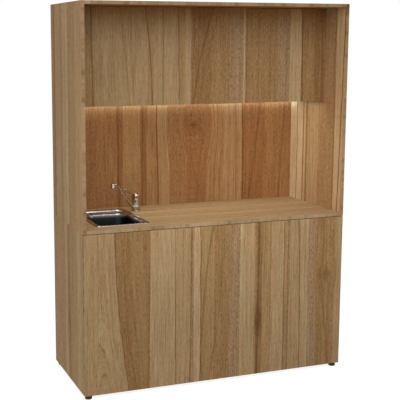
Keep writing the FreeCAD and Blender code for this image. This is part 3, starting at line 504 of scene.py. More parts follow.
# the splash's level is in part its boards' own redder tone and in part painted shade and warm light of the
# niche under the wall cabinet and its strip light
splashFront = {
    **fronts, "run": (890, 1520), "level": (0.95, 0.82, 0.75), "seed": 3.0, "lineTone": "redLine",
    "planks": ((0, "amber"), (100, "honey"), (187, "amber"), (365, "rust"), (402, "honey"), (505, "rust"),
               (545, "honey"), (624, "tan"), (690, "brown"), (800, "rust"), (915, "honey"), (1030, "tan"),
               (1152, "rust"), (1300, "amber")),
    "lines": ((382, 372, 0, 9, 0.5), (524, 524, 0, 7, 0.5), (620, 614, 0, 6, 0.75),
              (900, 780, 0, 12, 0.12, 890, 1330), (975, 975, 0, 5, 0.5), (1118, 1110, 0, 6, 0.4),
              (945, 942, 0, 4, 0.3), (1010, 1006, 2, 4, 0.35), (1070, 1064, 3, 4, 0.35),
              (1162, 1148, 6, 6, 0.7), (1200, 1270, 8, 10, 0.4), (1400, 1440, 0, 10, 0.35)),
    "knots": ((837, 1348, 62, 78, 0.42), (837, 1352, 20, 13, 0.8)),
}
# tallSide and lowSide: their levels are painted light, the fronts' wood made brighter for the light that
# falls on the sides; their edge factors bring the front edges back down
tallSide = {
    **sides, "run": (880, 2030), "level": (1.34, 1.28, 1.22), "seed": 4.0, "edge": (0.64, 0.64, 0.71),
    "planks": ((0, "tan"), (120, "honey"), (205, "grey"), (262, "pale"), (307, "tan"), (320, "light"),
               (367, "grey"), (408, "tan"), (525, "umber"), (560, "grey")),
    "lines": ((262, 262, 0, 4, 0.25), (408, 402, 3, 5, 0.25), (526, 524, 0, 5, 0.4)),
}
lowSide = {
    **sides, "run": (20, 880), "level": (1.35, 1.31, 1.25), "seed": 5.0, "edge": (0.86, 0.84, 0.86),
    "planks": ((0, "tan"), (60, "light"), (130, "honey"), (205, "grey"), (255, "brown"), (314, "light"),
               (362, "grey"), (440, "honey"), (520, "grey")),
    "lines": ((40, 40, 0, 4, 0.3), (130, 132, 0, 4, 0.3), (205, 206, 0, 3, 0.2),
              (270, 284, 0, 9, 0.35, 20, 700), (362, 362, 0, 3, 0.2)),
    "knots": ((278, 335, 17, 60, 0.6),),
}
rightTall = {
    **sides, "run": (890, 2010), "level": (1.03, 1.01, 1.0), "seed": 6.0, "edge": (0.8, 0.82, 0.85),
    "planks": ((0, "tan"), (8, "pale"), (86, "brown"), (106, "speckled"), (262, "tan"), (384, "brown"),
               (402, "pale"), (421, "honey"), (438, "cream"), (500, "cream")),
    "lines": ((42, 2, 0, 7, 0.85), (96, 98, 0, 6, 0.35), (392, 392, 0, 6, 0.5), (430, 430, 0, 5, 0.6),
              (504, 504, 0, 6, 0.6)),
}
worktopFace = {
    **boards, "level": (0.87, 0.845, 0.83), "seed": 7.0, "edge": (0.91, 0.95, 1.04),
    "planks": ((0, "pale"), (95, "light"), (180, "pale"), (262, "light"), (330, "pale"), (425, "light"),
               (510, "tan")),
    "lines": ((60, 64, 0, 3, 0.3), (95, 96, 0, 3, 0.4), (180, 176, 2, 3, 0.45), (262, 262, 0, 4, 0.5),
              (345, 350, 3, 3, 0.45), (425, 420, 4, 4, 0.6)),
}
# the top panel's under factor is painted shade: its underside is darker and redder than its top
topFace = {
    **boards, "level": 1.0, "seed": 8.0, "edge": (0.74, 0.76, 0.78), "under": (0.95, 0.62, 0.4),
    "planks": ((0, "tan"), (110, "light"), (190, "honey"), (300, "tan"), (410, "brown"), (500, "tan")),
    "lines": ((110, 112, 0, 4, 0.3), (300, 306, 6, 4, 0.4)),
}
insideBoards = {
    **boards, "level": 0.9, "seed": 9.0,
    "planks": ((0, "tan"), (140, "honey"), (260, "tan"), (390, "brown"), (480, "tan")),
    "lines": ((140, 142, 0, 4, 0.25), (390, 384, 5, 5, 0.35)),
}


def boardPlaces(tree, look):
    # millimetres across and along the grain, from the object's own coordinates
    place = axes(tree, "ShaderNodeTexCoord", "Object")
    across = minus(tree, times(tree, place[look["across"]], 1000.0), look["low"])
    return across, times(tree, place[look["along"]], 1000.0)


def plankColour(tree, look, across):
    ramp = tree.nodes.new("ShaderNodeValToRGB")
    ramp.color_ramp.interpolation = "CONSTANT"
    stops = ramp.color_ramp.elements
    feed(tree, calc(tree, "DIVIDE", across, look["span"]), ramp.inputs["Fac"])
    for number, (start, tone) in enumerate(look["planks"]):
        stop = stops[number] if number < 2 else stops.new(start / look["span"])
        stop.position = start / look["span"]
        level = np.array(colour(*woodTones[tone])[:3]) * look["level"]
        stop.color = tuple(level) + (chatterOf.get(tone, chatterOf["other"]),)
    return ramp.outputs["Color"], ramp.outputs["Alpha"]


def shaded(tree, share, plank, factors):
    # the plank's colour, multiplied by three factors where the share is 1
    return blend(tree, share, plank, blend(tree, 1.0, plank, (*factors, 1.0), "MULTIPLY"))


def turnedShade(tree, look, plank):
    # a board's sawn front edge is darker than its faces, and its underside can be painted redder and darker,
    # as painted shade standing in for the warm shade under the top panel
    normal = axes(tree, "ShaderNodeNewGeometry", "Normal")
    plank = shaded(tree, calc(tree, "LESS_THAN", normal["Y"], -woodLook["turned"]), plank, look["edge"])
    if "under" in look:
        plank = shaded(tree, calc(tree, "LESS_THAN", normal["Z"], -woodLook["turned"]), plank, look["under"])
    return plank


def woodFinish(name, look):
    # plank tone * streak tint * grain tone to the power of each channel, then dark lines and knots over it
    material, tree, shader = newMaterial(name)
    across, along = boardPlaces(tree, look)
    moved = across
    knotMasks = []
    for centreAcross, centreAlong, halfWidth, halfLength, strength in look.get("knots", ()):
        knot = placeGroup(tree, knotGroup, Across=across, Along=along, CentreAcross=centreAcross,
                          CentreAlong=centreAlong, HalfWidth=halfWidth, HalfLength=halfLength)
        moved = plus(tree, moved, knot["Push"])
        knotMasks.append((knot["Mask"], strength))
    for centre, reach, shift, low, high in look.get("leans", ()):
        lean = placeGroup(tree, leanGroup, Across=across, Along=along, Centre=centre, Reach=reach,
                          Shift=shift, Low=low, High=high)
        moved = plus(tree, moved, lean["Push"])
    widePace, tallPace = woodLook["raggedPace"]
    place = vector(tree, times(tree, across, widePace), times(tree, along, tallPace), look["seed"])
    ragged = times(tree, minus(tree, noise(tree, place, 1.0), 0.5), woodLook["ragged"])
    plank, chatter = plankColour(tree, look, plus(tree, moved, ragged))
    grain = placeGroup(tree, grainGroup, Across=moved, Along=along, Seed=look["seed"], Chatter=chatter,
                       **grainLook)
    plank = blend(tree, grain["Hue"], blend(tree, 1.0, plank, colour(*woodLook["coolStreak"]), "MULTIPLY"),
                  blend(tree, 1.0, plank, colour(*woodLook["warmStreak"]), "MULTIPLY"))
    if "edge" in look:
        plank = turnedShade(tree, look, plank)
    # painted shadow: the tone darkens and reddens between two heights, standing in for the shade under an
    # overhang
    if "paintedTopShade" in look:
        low, high, factors = look["paintedTopShade"]
        plank = shaded(tree, ramped(tree, along, low, high), plank, factors)
    deepened = tree.nodes.new("ShaderNodeVectorMath")
    deepened.operation = "MULTIPLY"
    feed(tree, plank, deepened.inputs[0])
    powers = [calc(tree, "POWER", grain["Tone"], power) for power in woodLook["depthPowers"]]
    feed(tree, vector(tree, *powers), deepened.inputs[1])
    shade = deepened.outputs[0]
    for foot, head, bow, width, strength, *run in look["lines"]:
        low, high = run or look["run"]
        seam = placeGroup(tree, seamGroup, Across=moved, Along=along, Foot=foot, Head=head, Low=low,
                          High=high, Bow=bow, Width=width)
        mask = times(tree, seam["Mask"], min(1.0, strength * woodLook["lineForce"]))
        shade = blend(tree, mask, shade, colour(*woodTones[look.get("lineTone", "line")]))
    for mask, strength in knotMasks:
        shade = blend(tree, times(tree, mask, strength), shade, colour(*woodTones["line"]))
    feed(tree, shade, shader.inputs["Base Color"])
    feed(tree, ramped(tree, grain["Depth"], 0.0, 1.0, *woodLook["rough"]), shader.inputs["Roughness"])
    shader.inputs["Specular IOR Level"].default_value = woodLook["specular"]
    addBump(tree, shader, minus(tree, 1.0, grain["Depth"]), woodLook["bump"], woodLook["bumpDistance"])
    return material


def dress(nodeName, material):
    mesh = cadNodes[nodeName].data
    mesh.materials.clear()
    mesh.materials.append(material)


doorWords = ("left", "middle", "right")
woodPieces = (
    ("lowerFrontWood", lowerFront, ["door_lower_" + word for word in doorWords]),
    ("upperFrontWood", upperFront, ["door_upper_" + word for word in doorWords]),
    ("splashWood", splashFront, ["splash_back", "lower_back"]),
    ("tallSideWood", tallSide, ["upper_side_left", "upper_dividers"]),
    ("rightTallWood", rightTall, ["upper_side_right"]),
    ("lowSideWood", lowSide, ["lower_side_left", "lower_side_right", "lower_dividers"]),
    ("worktopWood", worktopFace, ["worktop"]),
    ("topWood", topFace, ["top_panel"]),
    ("insideWood", insideBoards,
     ["wall_bottom", "lower_bottom", "top_rails", "lower_shelves", "upper_shelves"]),
)
for name, look, nodeNames in woodPieces:
    woodMaterial = woodFinish(name, look)
    for nodeName in nodeNames:
        dress(nodeName, woodMaterial)
print("wood ready")


# Metals, plastics and the light strip's cover:
# tint, metal share, low and high roughness, noise scale, bump strength, and glow where it has one.
finishLooks = {
    "sinkSteel": ((198, 198, 200), 1.0, (0.16, 0.24), 40.0, 0.0),
    # tapChrome's warm tint is painted reflection: it warms the chrome's mirror image of the white
    # surroundings towards the wood round it
    "tapChrome": ((194, 184, 171), 1.0, (0.13, 0.20), 40.0, 0.0),
    "hingeNickel": ((170, 168, 162), 1.0, (0.20, 0.34), 120.0, 0.02),
    "profileMetal": ((178, 178, 180), 1.0, (0.30, 0.42), 60.0, 0.02),
    "brassFixing": ((190, 160, 92), 1.0, (0.25, 0.40), 80.0, 0.03),
    "blackPlastic": ((22, 22, 23), 0.0, (0.42, 0.60), 300.0, 0.05),
    "greyPlastic": ((138, 138, 140), 0.0, (0.40, 0.55), 300.0, 0.05),
    "whitePlastic": ((228, 228, 224), 0.0, (0.30, 0.45), 200.0, 0.03),
    "warmDiffuser": ((255, 244, 230), 0.0, (0.4, 0.5), 60.0, 0.0, 17.0),
}
surfaceLook = {
    "detail": 3.0, "broadScale": 14.0, "range": (0.3, 0.7), "tone": (0.90, 1.04), "bumpDistance": 0.0005,
}


def buildSurfaceNoise():
    # Tone from a broad noise, Height from a fine one, Rough from their mean
    group, (scale, roughLow, roughHigh), result = newGroup(
        "surfaceNoise", (("Scale", 100.0), ("Low", 0.3), ("High", 0.4)), ("Tone", "Rough", "Height"))
    place = group.nodes.new("ShaderNodeTexCoord").outputs["Object"]
    fine = noise(group, place, scale, surfaceLook["detail"])
    broad = noise(group, place, surfaceLook["broadScale"])
    mean = times(group, plus(group, fine, broad), 0.5)
    low, high = surfaceLook["range"]
    feed(group, ramped(group, broad, low, high, *surfaceLook["tone"]), result["Tone"])
    feed(group, ramped(group, mean, low, high, roughLow, roughHigh), result["Rough"])
    feed(group, fine, result["Height"])
    return group


surfaceGroup = buildSurfaceNoise()


def plainFinish(name, tint, metal, rough, scale, bump, glow=0.0):
    material, tree, shader = newMaterial(name)
    surface = placeGroup(tree, surfaceGroup, Scale=scale, Low=rough[0], High=rough[1])
    mottled = scaledTint(tree, tint, surface["Tone"])
    feed(tree, mottled, shader.inputs["Base Color"])
    feed(tree, surface["Rough"], shader.inputs["Roughness"])
    feed(tree, metal, shader.inputs["Metallic"])
    if bump > 0:
        addBump(tree, shader, surface["Height"], bump, surfaceLook["bumpDistance"])
    if glow > 0:
        feed(tree, mottled, shader.inputs["Emission Color"])
        feed(tree, glow, shader.inputs["Emission Strength"])
    return material


# The bowl's inside is duller than the polished rim and painted darker, as painted shade and dark reflection,
# fully so below "to", heights in metres.
bowlLook = {"deep": (58, 60, 64), "from": 0.8895, "to": 0.862, "rough": 0.30, "upward": 0.3}


def paintBowlShade(material):
    tree = material.node_tree
    shader = tree.nodes["Principled BSDF"]
    place = axes(tree, "ShaderNodeTexCoord", "Object")
    normal = axes(tree, "ShaderNodeNewGeometry", "Normal")
    depth = ramped(tree, place["Z"], bowlLook["to"], bowlLook["from"], 1.0, 0.0)
    # only the inside: faces that look up, or across the bowl to its middle line
    low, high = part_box("waste_flange")
    inward = [times(tree, minus(tree, (low[number] + high[number]) / 2, place[axis]), normal[axis])
              for number, axis in enumerate("XY")]
    inside = calc(tree, "MAXIMUM", calc(tree, "GREATER_THAN", plus(tree, *inward), 0.0),
                  calc(tree, "GREATER_THAN", normal["Z"], bowlLook["upward"]))
    depth = times(tree, depth, inside)
    # painted shade and dark reflection: the base colour goes to the deep tone down the inside
    rim = shader.inputs["Base Color"].links[0].from_socket
    feed(tree, blend(tree, depth, rim, colour(*bowlLook["deep"])), shader.inputs["Base Color"])
    gloss = shader.inputs["Roughness"].links[0].from_socket
    dull = calc(tree, "MAXIMUM", gloss, times(tree, depth, bowlLook["rough"]))
    feed(tree, dull, shader.inputs["Roughness"])


finishes = {name: plainFinish(name, *look) for name, look in finishLooks.items()}
paintBowlShade(finishes["sinkSteel"])
finishOf = {
    "sinkSteel": ["sink", "strainer", "waste_flange"],
    "tapChrome": ["tap_body", "tap_spout", "tap_dome", "tap_lever", "lever_pin"],
    "hingeNickel": ["hinge_arms", "shelf_pins", "sink_clips"],
    "profileMetal": ["light_profile"],
    "brassFixing": ["tap_fixing"],
    "blackPlastic": ["foot_sockets"],
    "greyPlastic": ["push_latches", "aerator", "cartridge"],
    "whitePlastic": ["tail_pipe", "bottle_trap", "trap_nuts", "waste_pipe", "light_circuit"],
    "warmDiffuser": ["light_diffuser"],
}
for kind in ("lower_", "upper_"):
    finishOf["hingeNickel"] += ["hinge_cups_" + kind + word for word in doorWords]
    finishOf["greyPlastic"] += ["plunger_" + kind + word for word in doorWords]
for corner in ("front_left", "front_right", "rear_left", "rear_right"):
    finishOf["blackPlastic"].append("foot_" + corner)
for name, members in finishOf.items():
    for member in members:
        dress(member, finishes[name])
print("metals and plastics ready")


# Every new surface is worked out in millimetres as a grid of rows and columns, and put in place in metres.
def ringShares(cornerSteps, sideSteps):
    # Shares of a round-cornered ring, anticlockwise. A point is corner share * (half size - corner radius)
    # + direction * corner radius, so one pair of arrays serves rings of every size.
    arc = np.linspace(0.0, math.pi / 2, cornerSteps)
    starts = np.arange(4) * math.pi / 2
    angles = starts[:, None] + arc[None, :]
    way = np.stack([np.cos(angles), np.sin(angles)], axis=-1)
    corner = np.sign(np.stack([np.cos(starts + math.pi / 4), np.sin(starts + math.pi / 4)], axis=-1))
    corners = np.repeat(corner[:, None, :], cornerSteps, axis=1)
    share = (np.arange(1, sideSteps) / sideSteps)[None, :, None]
    sideCorners = corner[:, None, :] * (1 - share) + np.roll(corner, -1, axis=0)[:, None, :] * share
    sideWays = np.repeat(way[:, -1:, :], sideSteps - 1, axis=1)
    return (np.concatenate([corners, sideCorners], axis=1).reshape(-1, 2),
            np.concatenate([way, sideWays], axis=1).reshape(-1, 2))


def roundRings(rings, cornerSteps, sideSteps):
    # rings is an array of rows (half x, half y, corner radius, centre x, centre y, height)
    corner, way = ringShares(cornerSteps, sideSteps)
    half = rings[:, None, 0:2]
    radius = rings[:, None, 2:3]
    flat = corner[None] * (half - radius) + way[None] * radius + rings[:, None, 3:5]
    height = np.repeat(rings[:, None, 5:6], len(corner), axis=1)
    return np.concatenate([flat, height], axis=2)


def turned(profile, centre, steps=72):
    # a profile of (radius, height) carried round an upright axis
    profile = np.asarray(profile, float)
    angle = np.arange(steps) * 2 * math.pi / steps
    radius = profile[:, 0:1]
    height = np.repeat(profile[:, 1:2], steps, axis=1)
    return np.stack([centre[0] + radius * np.cos(angle), centre[1] + radius * np.sin(angle), height], axis=-1)


def arcPoints(centre, radius, start, end, steps):
    # points of a flat arc, angles in degrees
    angle = np.radians(np.linspace(start, end, steps))
    return np.stack([centre[0] + radius * np.cos(angle), centre[1] + radius * np.sin(angle)], axis=-1)


def gridFaces(grid, flip=False, closeStart=False, closeEnd=False, wrapRows=False):
    # one face between each pair of neighbours on the grid, whose columns run round in a closed ring
    rows, columns = grid.shape[:2]
    number = np.arange(rows * columns).reshape(rows, columns)
    beside = np.roll(number, -1, axis=1)
    last = rows if wrapRows else rows - 1
    under, underBeside = np.roll(number, -1, axis=0), np.roll(beside, -1, axis=0)
    faces = np.stack([number, beside, underBeside, under], axis=-1)[:last].reshape(-1, 4).tolist()
    points = grid.reshape(-1, 3)
    for wanted, row, order in ((closeStart, 0, -1), (closeEnd, -1, 1)):
        if wanted:
            points = np.vstack([points, grid[row].mean(axis=0)])
            hub = np.full(columns, len(points) - 1)
            faces += np.stack([number[row], beside[row], hub], axis=-1)[:, ::order].tolist()
    if flip:
        faces = [face[::-1] for face in faces]
    return points, faces


# Smooth shading up to an angle, for new pieces and for copies, whose equal points are merged first.
shadingLook = {"newDegrees": 35.0, "copyDegrees": 32.0, "mergeMetres": 1e-6}


def shadeRound(mesh, sharpDegrees):
    mesh.polygons.foreach_set("use_smooth", np.ones(len(mesh.polygons), bool))
    mesh.set_sharp_from_angle(angle=math.radians(sharpDegrees))


def meshPiece(name, finish, shells):
    # shells is a list of (points, faces), joined as one mesh
    points, faces = [], []
    for shellPoints, shellFaces in shells:
        start = sum(len(part) for part in points)
        points.append(shellPoints)
        faces += [[start + corner for corner in face] for face in shellFaces]
    mesh = bpy.data.meshes.new(name)
    mesh.from_pydata((np.vstack(points) / 1000.0).tolist(), [], faces)
    shadeRound(mesh, shadingLook["newDegrees"])
    mesh.update()
    mesh.materials.append(finishes[finish])
    return addObject(name, mesh)


def seat(piece, body, node):
    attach(piece, body)
    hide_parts(node)


def boxOf(node):
    # middle, low corner and high corner of a CAD node in millimetres
    low, high = np.array(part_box(node)) * 1000.0
    return (low + high) / 2, low, high


# Pressed sink: rings from the rim's outer edge over the mouth and down the drafted bowl to the waste hole.
# rimFall is (inset, share of flangeDrop), stepProfile is (share of stepRun, share of stepDrop). A turn is
# its first and last degree and its number of rings, a run its first and last share and its number of rings.
sinkLook = {
    "rimCorner": 24.0, "rimSlope": 3.5,
    "flangeDrop": 0.6, "rimFall": ((1.0, 0.1), (2.2, 0.45), (3.6, 0.9), (5.0, 1.0)),
    "stepHalf": (139.0, 201.0), "stepCorner": 52.0, "stepBack": 29.5, "stepRun": 4.2, "stepDrop": 6.0,
    "stepProfile": ((0.07, 0.012), (0.16, 0.08), (0.5, 0.5), (0.84, 0.92), (0.93, 0.988), (1.0, 1.0)),
    "bowlHalf": (117.5, 153.5), "bowlCorner": 58.0, "mouthRound": 5.0, "draft": 12.0,
    "floorCorner": 46.0, "floorRound": 28.0, "floorFall": 2.5, "wasteSeat": 36.0, "wasteHole": 25.5,
    "sheet": 1.2, "wallShare": 0.9, "gap": 0.05, "cornerSteps": 15, "sideSteps": 7,
    "rimTurn": (0, 90, 7), "flangeShares": (0.3, 0.6, 0.85, 1.0), "deckShares": (0.25, 0.5, 0.75, 1.0),
    "mouthTurn": (15, 90, 6), "wallRun": (0.1, 1.0, 10), "footTurn": (9, 90, 10), "floorRun": (0.1, 1.0, 10),
}


def buildSink():
    look = sinkLook
    (rimX, rimY, _), low, high = boxOf("sink")
    bowlX, bowlY = boxOf("waste_flange")[0][:2]
    worktopTop = boxOf("worktop")[2][2]
    rimHeight = high[2] - worktopTop
    halfRim = (high[:2] - low[:2]) / 2
    halfBowl = np.array(look["bowlHalf"])
    floor = low[2] + look["sheet"]
    gap, mouthRound, floorRound = look["gap"], look["mouthRound"], look["floorRound"]
    rings = []

    def ring(half, corner, x, y, z):
        rings.append((half[0], half[1], corner, x, y, z))

    def runTo(end, shares):
        # rings between the last one and a given one
        start = np.array(rings[-1])
        rings.extend(tuple(start + (np.array(end) - start) * share) for share in shares)

    # outer edge, a quarter of an ellipse up to the rim's crest
    for turn in np.radians(np.linspace(*look["rimTurn"])):
        inset = look["rimSlope"] * (1 - math.cos(turn))
        ring(halfRim - inset, look["rimCorner"] - inset, rimX, rimY,
             worktopTop + gap + (rimHeight - 2 * gap) * math.sin(turn))
    # the flange dips a little behind the crest and runs level to the step
    crest = halfRim - look["rimSlope"]
    crestCorner = look["rimCorner"] - look["rimSlope"]
    for inset, drop in look["rimFall"]:
        ring(crest - inset, crestCorner - inset, rimX, rimY, high[2] - gap - look["flangeDrop"] * drop)
    flange = high[2] - look["flangeDrop"]
    step = np.array([*look["stepHalf"], look["stepCorner"], bowlX, bowlY + look["stepBack"], flange - gap])
    runTo(step, look["flangeShares"])
    # a steep step runs round the deck, straight in its middle and eased at both ends
    for share, drop in look["stepProfile"]:
        inset = look["stepRun"] * share
        ring(step[:2] - inset, step[2] - inset, step[3], step[4], step[5] - look["stepDrop"] * drop)
    deck = flange - look["stepDrop"]
    mouth = halfBowl + mouthRound
    mouthCorner = look["bowlCorner"] + mouthRound
    runTo((*mouth, mouthCorner, bowlX, bowlY, deck - gap), look["deckShares"])
    # the mouth rolls over, then the wall runs down with its draft
    for turn in np.radians(np.linspace(*look["mouthTurn"])):
        inset = mouthRound * math.sin(turn)
        ring(mouth - inset, mouthCorner - inset, bowlX, bowlY, deck - mouthRound * (1 - math.cos(turn)))
    wallTop = deck - mouthRound
    wallFoot = floor + look["floorFall"] + floorRound
    for share in np.linspace(*look["wallRun"]):
        ring(halfBowl - look["draft"] * share,
             look["bowlCorner"] + (look["floorCorner"] - look["bowlCorner"]) * share, bowlX, bowlY,
             wallTop + (wallFoot - wallTop) * share)
    foot = halfBowl - look["draft"]
    for turn in np.radians(np.linspace(*look["footTurn"])):
        inset = floorRound * (1 - math.cos(turn))
        ring(foot - inset, look["floorCorner"] - inset, bowlX, bowlY, wallFoot - floorRound * math.sin(turn))
    # the floor falls to the round seat of the waste
    runTo((*[look["wasteSeat"]] * 3, bowlX, bowlY, floor), np.linspace(*look["floorRun"]))
    ring((look["wasteHole"],) * 2, look["wasteHole"], bowlX, bowlY, floor)
    grid = roundRings(np.array(rings), look["cornerSteps"], look["sideSteps"])
    sink = meshPiece("pressedSink", "sinkSteel", [gridFaces(grid)])
    wall = sink.modifiers.new("sheet", "SOLIDIFY")
    wall.thickness = look["sheet"] / 1000.0 * look["wallShare"]
    wall.offset = -1.0
    seat(sink, "carcass", "sink")


buildSink()
print("sink ready")


# Mixer tap. Heights are millimetres above the worktop, reaches run from the tap's middle along the spout.
tapLook = {
    "base": (24.0, 4.0), "baseEdge": 2.0, "core": 15.0, "body": (22.0, 33.0, 70.0), "bodyWaist": 0.5,
    "bodyEdge": 1.5, "bore": 17.0, "boreDepth": 4.4,
    "shank": 16.5, "clampDepth": 24.0, "threadPitch": 2.0, "threadDepth": 0.8, "threadLead": 1.0,
    "ring": (22.4, 4.1, 32.9), "ringBulge": 1.2, "ringCurve": 0.7, "ringGap": 0.1,
    "tube": 8.0, "tubeStart": (17.0, 10.0), "tubeRise": 1.04, "tubeTop": 164.0, "bend": 40.0,
    "nozzle": (12.0, 152.0, 176.0), "nozzleRound": 2.5, "nozzleEdge": 1.0, "nozzleBore": (10.0, 166.0),
    "nozzleCrown": 1.0,
    "leverAxis": 84.0, "leverRiseDegrees": 25.0, "leverTail": 4.5, "leverReach": 115.5, "leverTip": 7.0,
    "leverRoot": (7.9, 6.9), "leverEnd": (7.0, 2.4), "leverTaper": 0.85, "leverRound": (2.2, 0.9),
    "leverRingSteps": (6, 4), "tipTurn": (8, 88, 11),
    "bossProfile": ((2.6, -7.9), (8.4, -7.9), (9.0, -7.3), (9.0, 7.3), (8.4, 7.9), (2.6, 7.9)),
    "steps": {"baseEdge": 7, "bodyEdge": 6, "bodySide": 9, "ring": 15, "rise": 14, "bend": 12, "level": 4,
              "tubeRound": 32, "nozzleEdge": 5, "nozzleRound": 8, "lever": 26, "boss": 48},
}
upright = np.array([0.0, 0.0, 1.0])


def tapFrame():
    # the tap's middle, the spout's direction, the direction across it, and the spout's reach
    centre = boxOf("tap_body")[0][:2]
    out = boxOf("aerator")[0][:2] - centre
    reach = float(np.hypot(*out))
    wayX, wayY = out / reach
    level = boxOf("worktop")[2][2]
    return np.array([*centre, level]), np.array([wayX, wayY, 0.0]), np.array([-wayY, wayX, 0.0]), reach


def buildTapBody():
    # an upright profile turned about the tap's middle: thread, base plate, core, slightly waisted body
    centre = tapFrame()[0]
    look = tapLook
    (baseRadius, baseHeight), (radius, low, high) = look["base"], look["body"]
    shank, edge, baseEdge, steps = look["shank"], look["bodyEdge"], look["baseEdge"], look["steps"]
    foot = boxOf("tap_body")[1][2] - centre[2]
    under = -look["clampDepth"]
    # thread below the nut's washer: crest and root in turn
    pitch, root, lead = look["threadPitch"], shank - look["threadDepth"], look["threadLead"]
    turns = int((under - foot) / pitch)
    crest = foot + lead + np.arange(turns) * pitch
    thread = np.stack([np.stack([np.full(turns, shank), crest], -1),
                       np.stack([np.full(turns, root), crest + pitch / 2], -1)], axis=1).reshape(-1, 2)
    side = np.linspace(0, 1, steps["bodySide"])
    wall = np.stack([radius - look["bodyWaist"] * np.sin(math.pi * side),
                     low + edge + (high - low - 2 * edge) * side], -1)
    profile = np.vstack([
        [(shank - lead, foot)], thread, [(shank, under), (shank, 0.0), (baseRadius, 0.0)],
        arcPoints((baseRadius - baseEdge, baseHeight - baseEdge), baseEdge, 0, 90, steps["baseEdge"]),
        [(look["core"], baseHeight), (look["core"], low)],
        arcPoints((radius - edge, low + edge), edge, -90, 0, steps["bodyEdge"]), wall[1:-1],
        arcPoints((radius - edge, high - edge), edge, 0, 90, steps["bodyEdge"]),
        [(look["bore"], high), (look["bore"], high - look["boreDepth"])],
    ])
    profile[:, 1] += centre[2]
    shell = gridFaces(turned(profile, centre), closeStart=True, closeEnd=True)
    seat(meshPiece("tapBody", "tapChrome", [shell]), "carcass", "tap_body")


def buildTapSpout():
    # a bulged ring, a tube carried along its centre line, and a turned nozzle
    look = tapLook
    steps = look["steps"]
    centre, way, cross, reach = tapFrame()
    ringRadius, low, high = look["ring"]
    share = np.linspace(0, 1, steps["ring"])
    bulge = ringRadius + look["ringBulge"] * np.sin(math.pi * share) ** look["ringCurve"]
    inner = look["core"] + look["ringGap"]
    ring = np.vstack([[(inner, low)], np.stack([bulge, low + (high - low) * share], -1), [(inner, high)]])
    ring[:, 1] += centre[2]
    # centre line of the tube in (reach, height): straight up its slope, one round bend, level to the nozzle
    startReach, startHeight = look["tubeStart"]
    rise, top, bend = look["tubeRise"], look["tubeTop"], look["bend"]
    slope = math.atan(rise)
    elbow = startReach + (top - startHeight) / rise
    back = bend * math.tan(slope / 2)
    bendStart = np.array([elbow - back * math.cos(slope), top - back * math.sin(slope)])
    up = np.linspace((startReach, startHeight), bendStart, steps["rise"])
    over = arcPoints((elbow + back, top - bend), bend, 90 + math.degrees(slope), 90, steps["bend"])
    level = np.linspace((elbow + back, top), (reach, top), steps["level"])
    line = np.vstack([up, over[1:], level[1:]])
    tangent = np.gradient(line, axis=0)
    tangent /= np.linalg.norm(tangent, axis=1)[:, None]
    angle = np.arange(steps["tubeRound"]) * 2 * math.pi / steps["tubeRound"]
    spine = centre + line[:, 0:1] * way + line[:, 1:2] * upright
    normal = -tangent[:, 1:2] * way + tangent[:, 0:1] * upright
    tube = spine[:, None] + look["tube"] * (np.cos(angle)[None, :, None] * normal[:, None]
                                            + np.sin(angle)[None, :, None] * cross)
    radius, foot, head = look["nozzle"]
    boreRadius, boreTop = look["nozzleBore"]
    soft, edge = look["nozzleRound"], look["nozzleEdge"]
    nozzle = np.vstack([
        [(boreRadius, boreTop), (boreRadius, foot)],
        arcPoints((radius - edge, foot + edge), edge, -90, 0, steps["nozzleEdge"]),
        arcPoints((radius - soft, head - soft), soft, 0, 90, steps["nozzleRound"]),
        [(look["nozzleCrown"], head)],
    ])
    nozzle[:, 1] += centre[2]
    outlet = centre + way * reach
    spout = meshPiece("tapSpout", "tapChrome", [
        gridFaces(turned(ring, centre), wrapRows=True),
        gridFaces(tube, closeStart=True, closeEnd=True, flip=True),
        gridFaces(turned(nozzle, outlet), closeStart=True, closeEnd=True),
    ])
    seat(spout, "spout", "tap_spout")


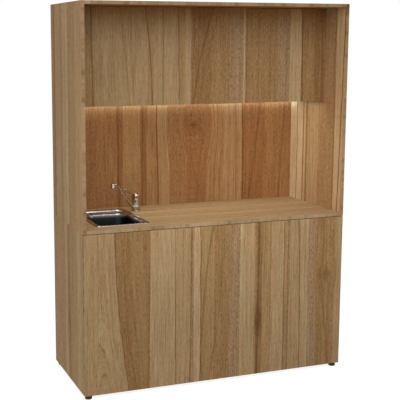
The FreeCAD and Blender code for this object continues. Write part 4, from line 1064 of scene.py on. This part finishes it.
def buildTapLever():
    # rounded cross-sections along the handle, thinner and narrower to the tip, whose plan is a half round
    look = tapLook
    centre, way, cross, _ = tapFrame()
    tilt = math.radians(look["leverRiseDegrees"])
    ahead = way * math.cos(tilt) + upright * math.sin(tilt)
    above = -way * math.sin(tilt) + upright * math.cos(tilt)
    pivot = centre + upright * look["leverAxis"]
    length = look["leverReach"]
    tipStart = length - look["leverTip"]
    straight = np.linspace(-look["leverTail"], tipStart, look["steps"]["lever"])
    turn = np.radians(np.linspace(*look["tipTurn"]))
    along = np.concatenate([straight, tipStart + look["leverTip"] * np.sin(turn)])
    share = np.clip((along + look["leverTail"]) / (length + look["leverTail"]), 0, 1)
    (rootWide, rootThick), (endWide, endThick) = look["leverRoot"], look["leverEnd"]
    halfWide = rootWide + (endWide - rootWide) * share
    halfWide[len(straight):] *= np.cos(turn)
    halfThick = rootThick + (endThick - rootThick) * share ** look["leverTaper"]
    halfThick[len(straight):] *= np.sqrt(np.cos(turn))
    cornerRadius, cornerShare = look["leverRound"]
    corner = np.minimum(cornerRadius, np.minimum(halfWide, halfThick) * cornerShare)
    zero = np.zeros_like(along)
    rings = np.stack([halfWide, halfThick, corner, zero, zero, along], axis=-1)
    flat = roundRings(rings, *look["leverRingSteps"])
    grid = pivot + flat[..., 0:1] * cross + flat[..., 1:2] * above + flat[..., 2:3] * ahead
    # the boss round the pivot pin, inside the dome
    pin = boxOf("lever_pin")[0]
    boss = turned(look["bossProfile"], (0.0, 0.0), look["steps"]["boss"])
    bossGrid = pin + boss[..., 0:1] * way + boss[..., 1:2] * upright + boss[..., 2:3] * cross
    lever = meshPiece("tapLever", "tapChrome", [
        gridFaces(grid, closeStart=True, closeEnd=True),
        gridFaces(bossGrid, wrapRows=True, flip=True),
    ])
    seat(lever, "lever", "tap_lever")


buildTapBody()
buildTapSpout()
buildTapLever()
print("tap ready")


# CAD pieces whose form is kept but whose facets are shaded round: a merged copy stands for the node.
def smoothCopy(node):
    mesh = cadNodes[node].data.copy()
    form = bmesh.new()
    form.from_mesh(mesh)
    bmesh.ops.remove_doubles(form, verts=form.verts, dist=shadingLook["mergeMetres"])
    form.to_mesh(mesh)
    form.free()
    shadeRound(mesh, shadingLook["copyDegrees"])
    return addObject(node + "Smooth", mesh)


bodyOf = {node: body for body, nodes in frame["record"]["behaviour"]["bodies"].items() for node in nodes}
for node in ("tap_dome", "aerator", "strainer", "waste_flange", "bottle_trap", "trap_nuts", "tail_pipe",
             "waste_pipe", "tap_fixing", "lever_pin"):
    seat(smoothCopy(node), bodyOf[node], node)
print("fittings ready")
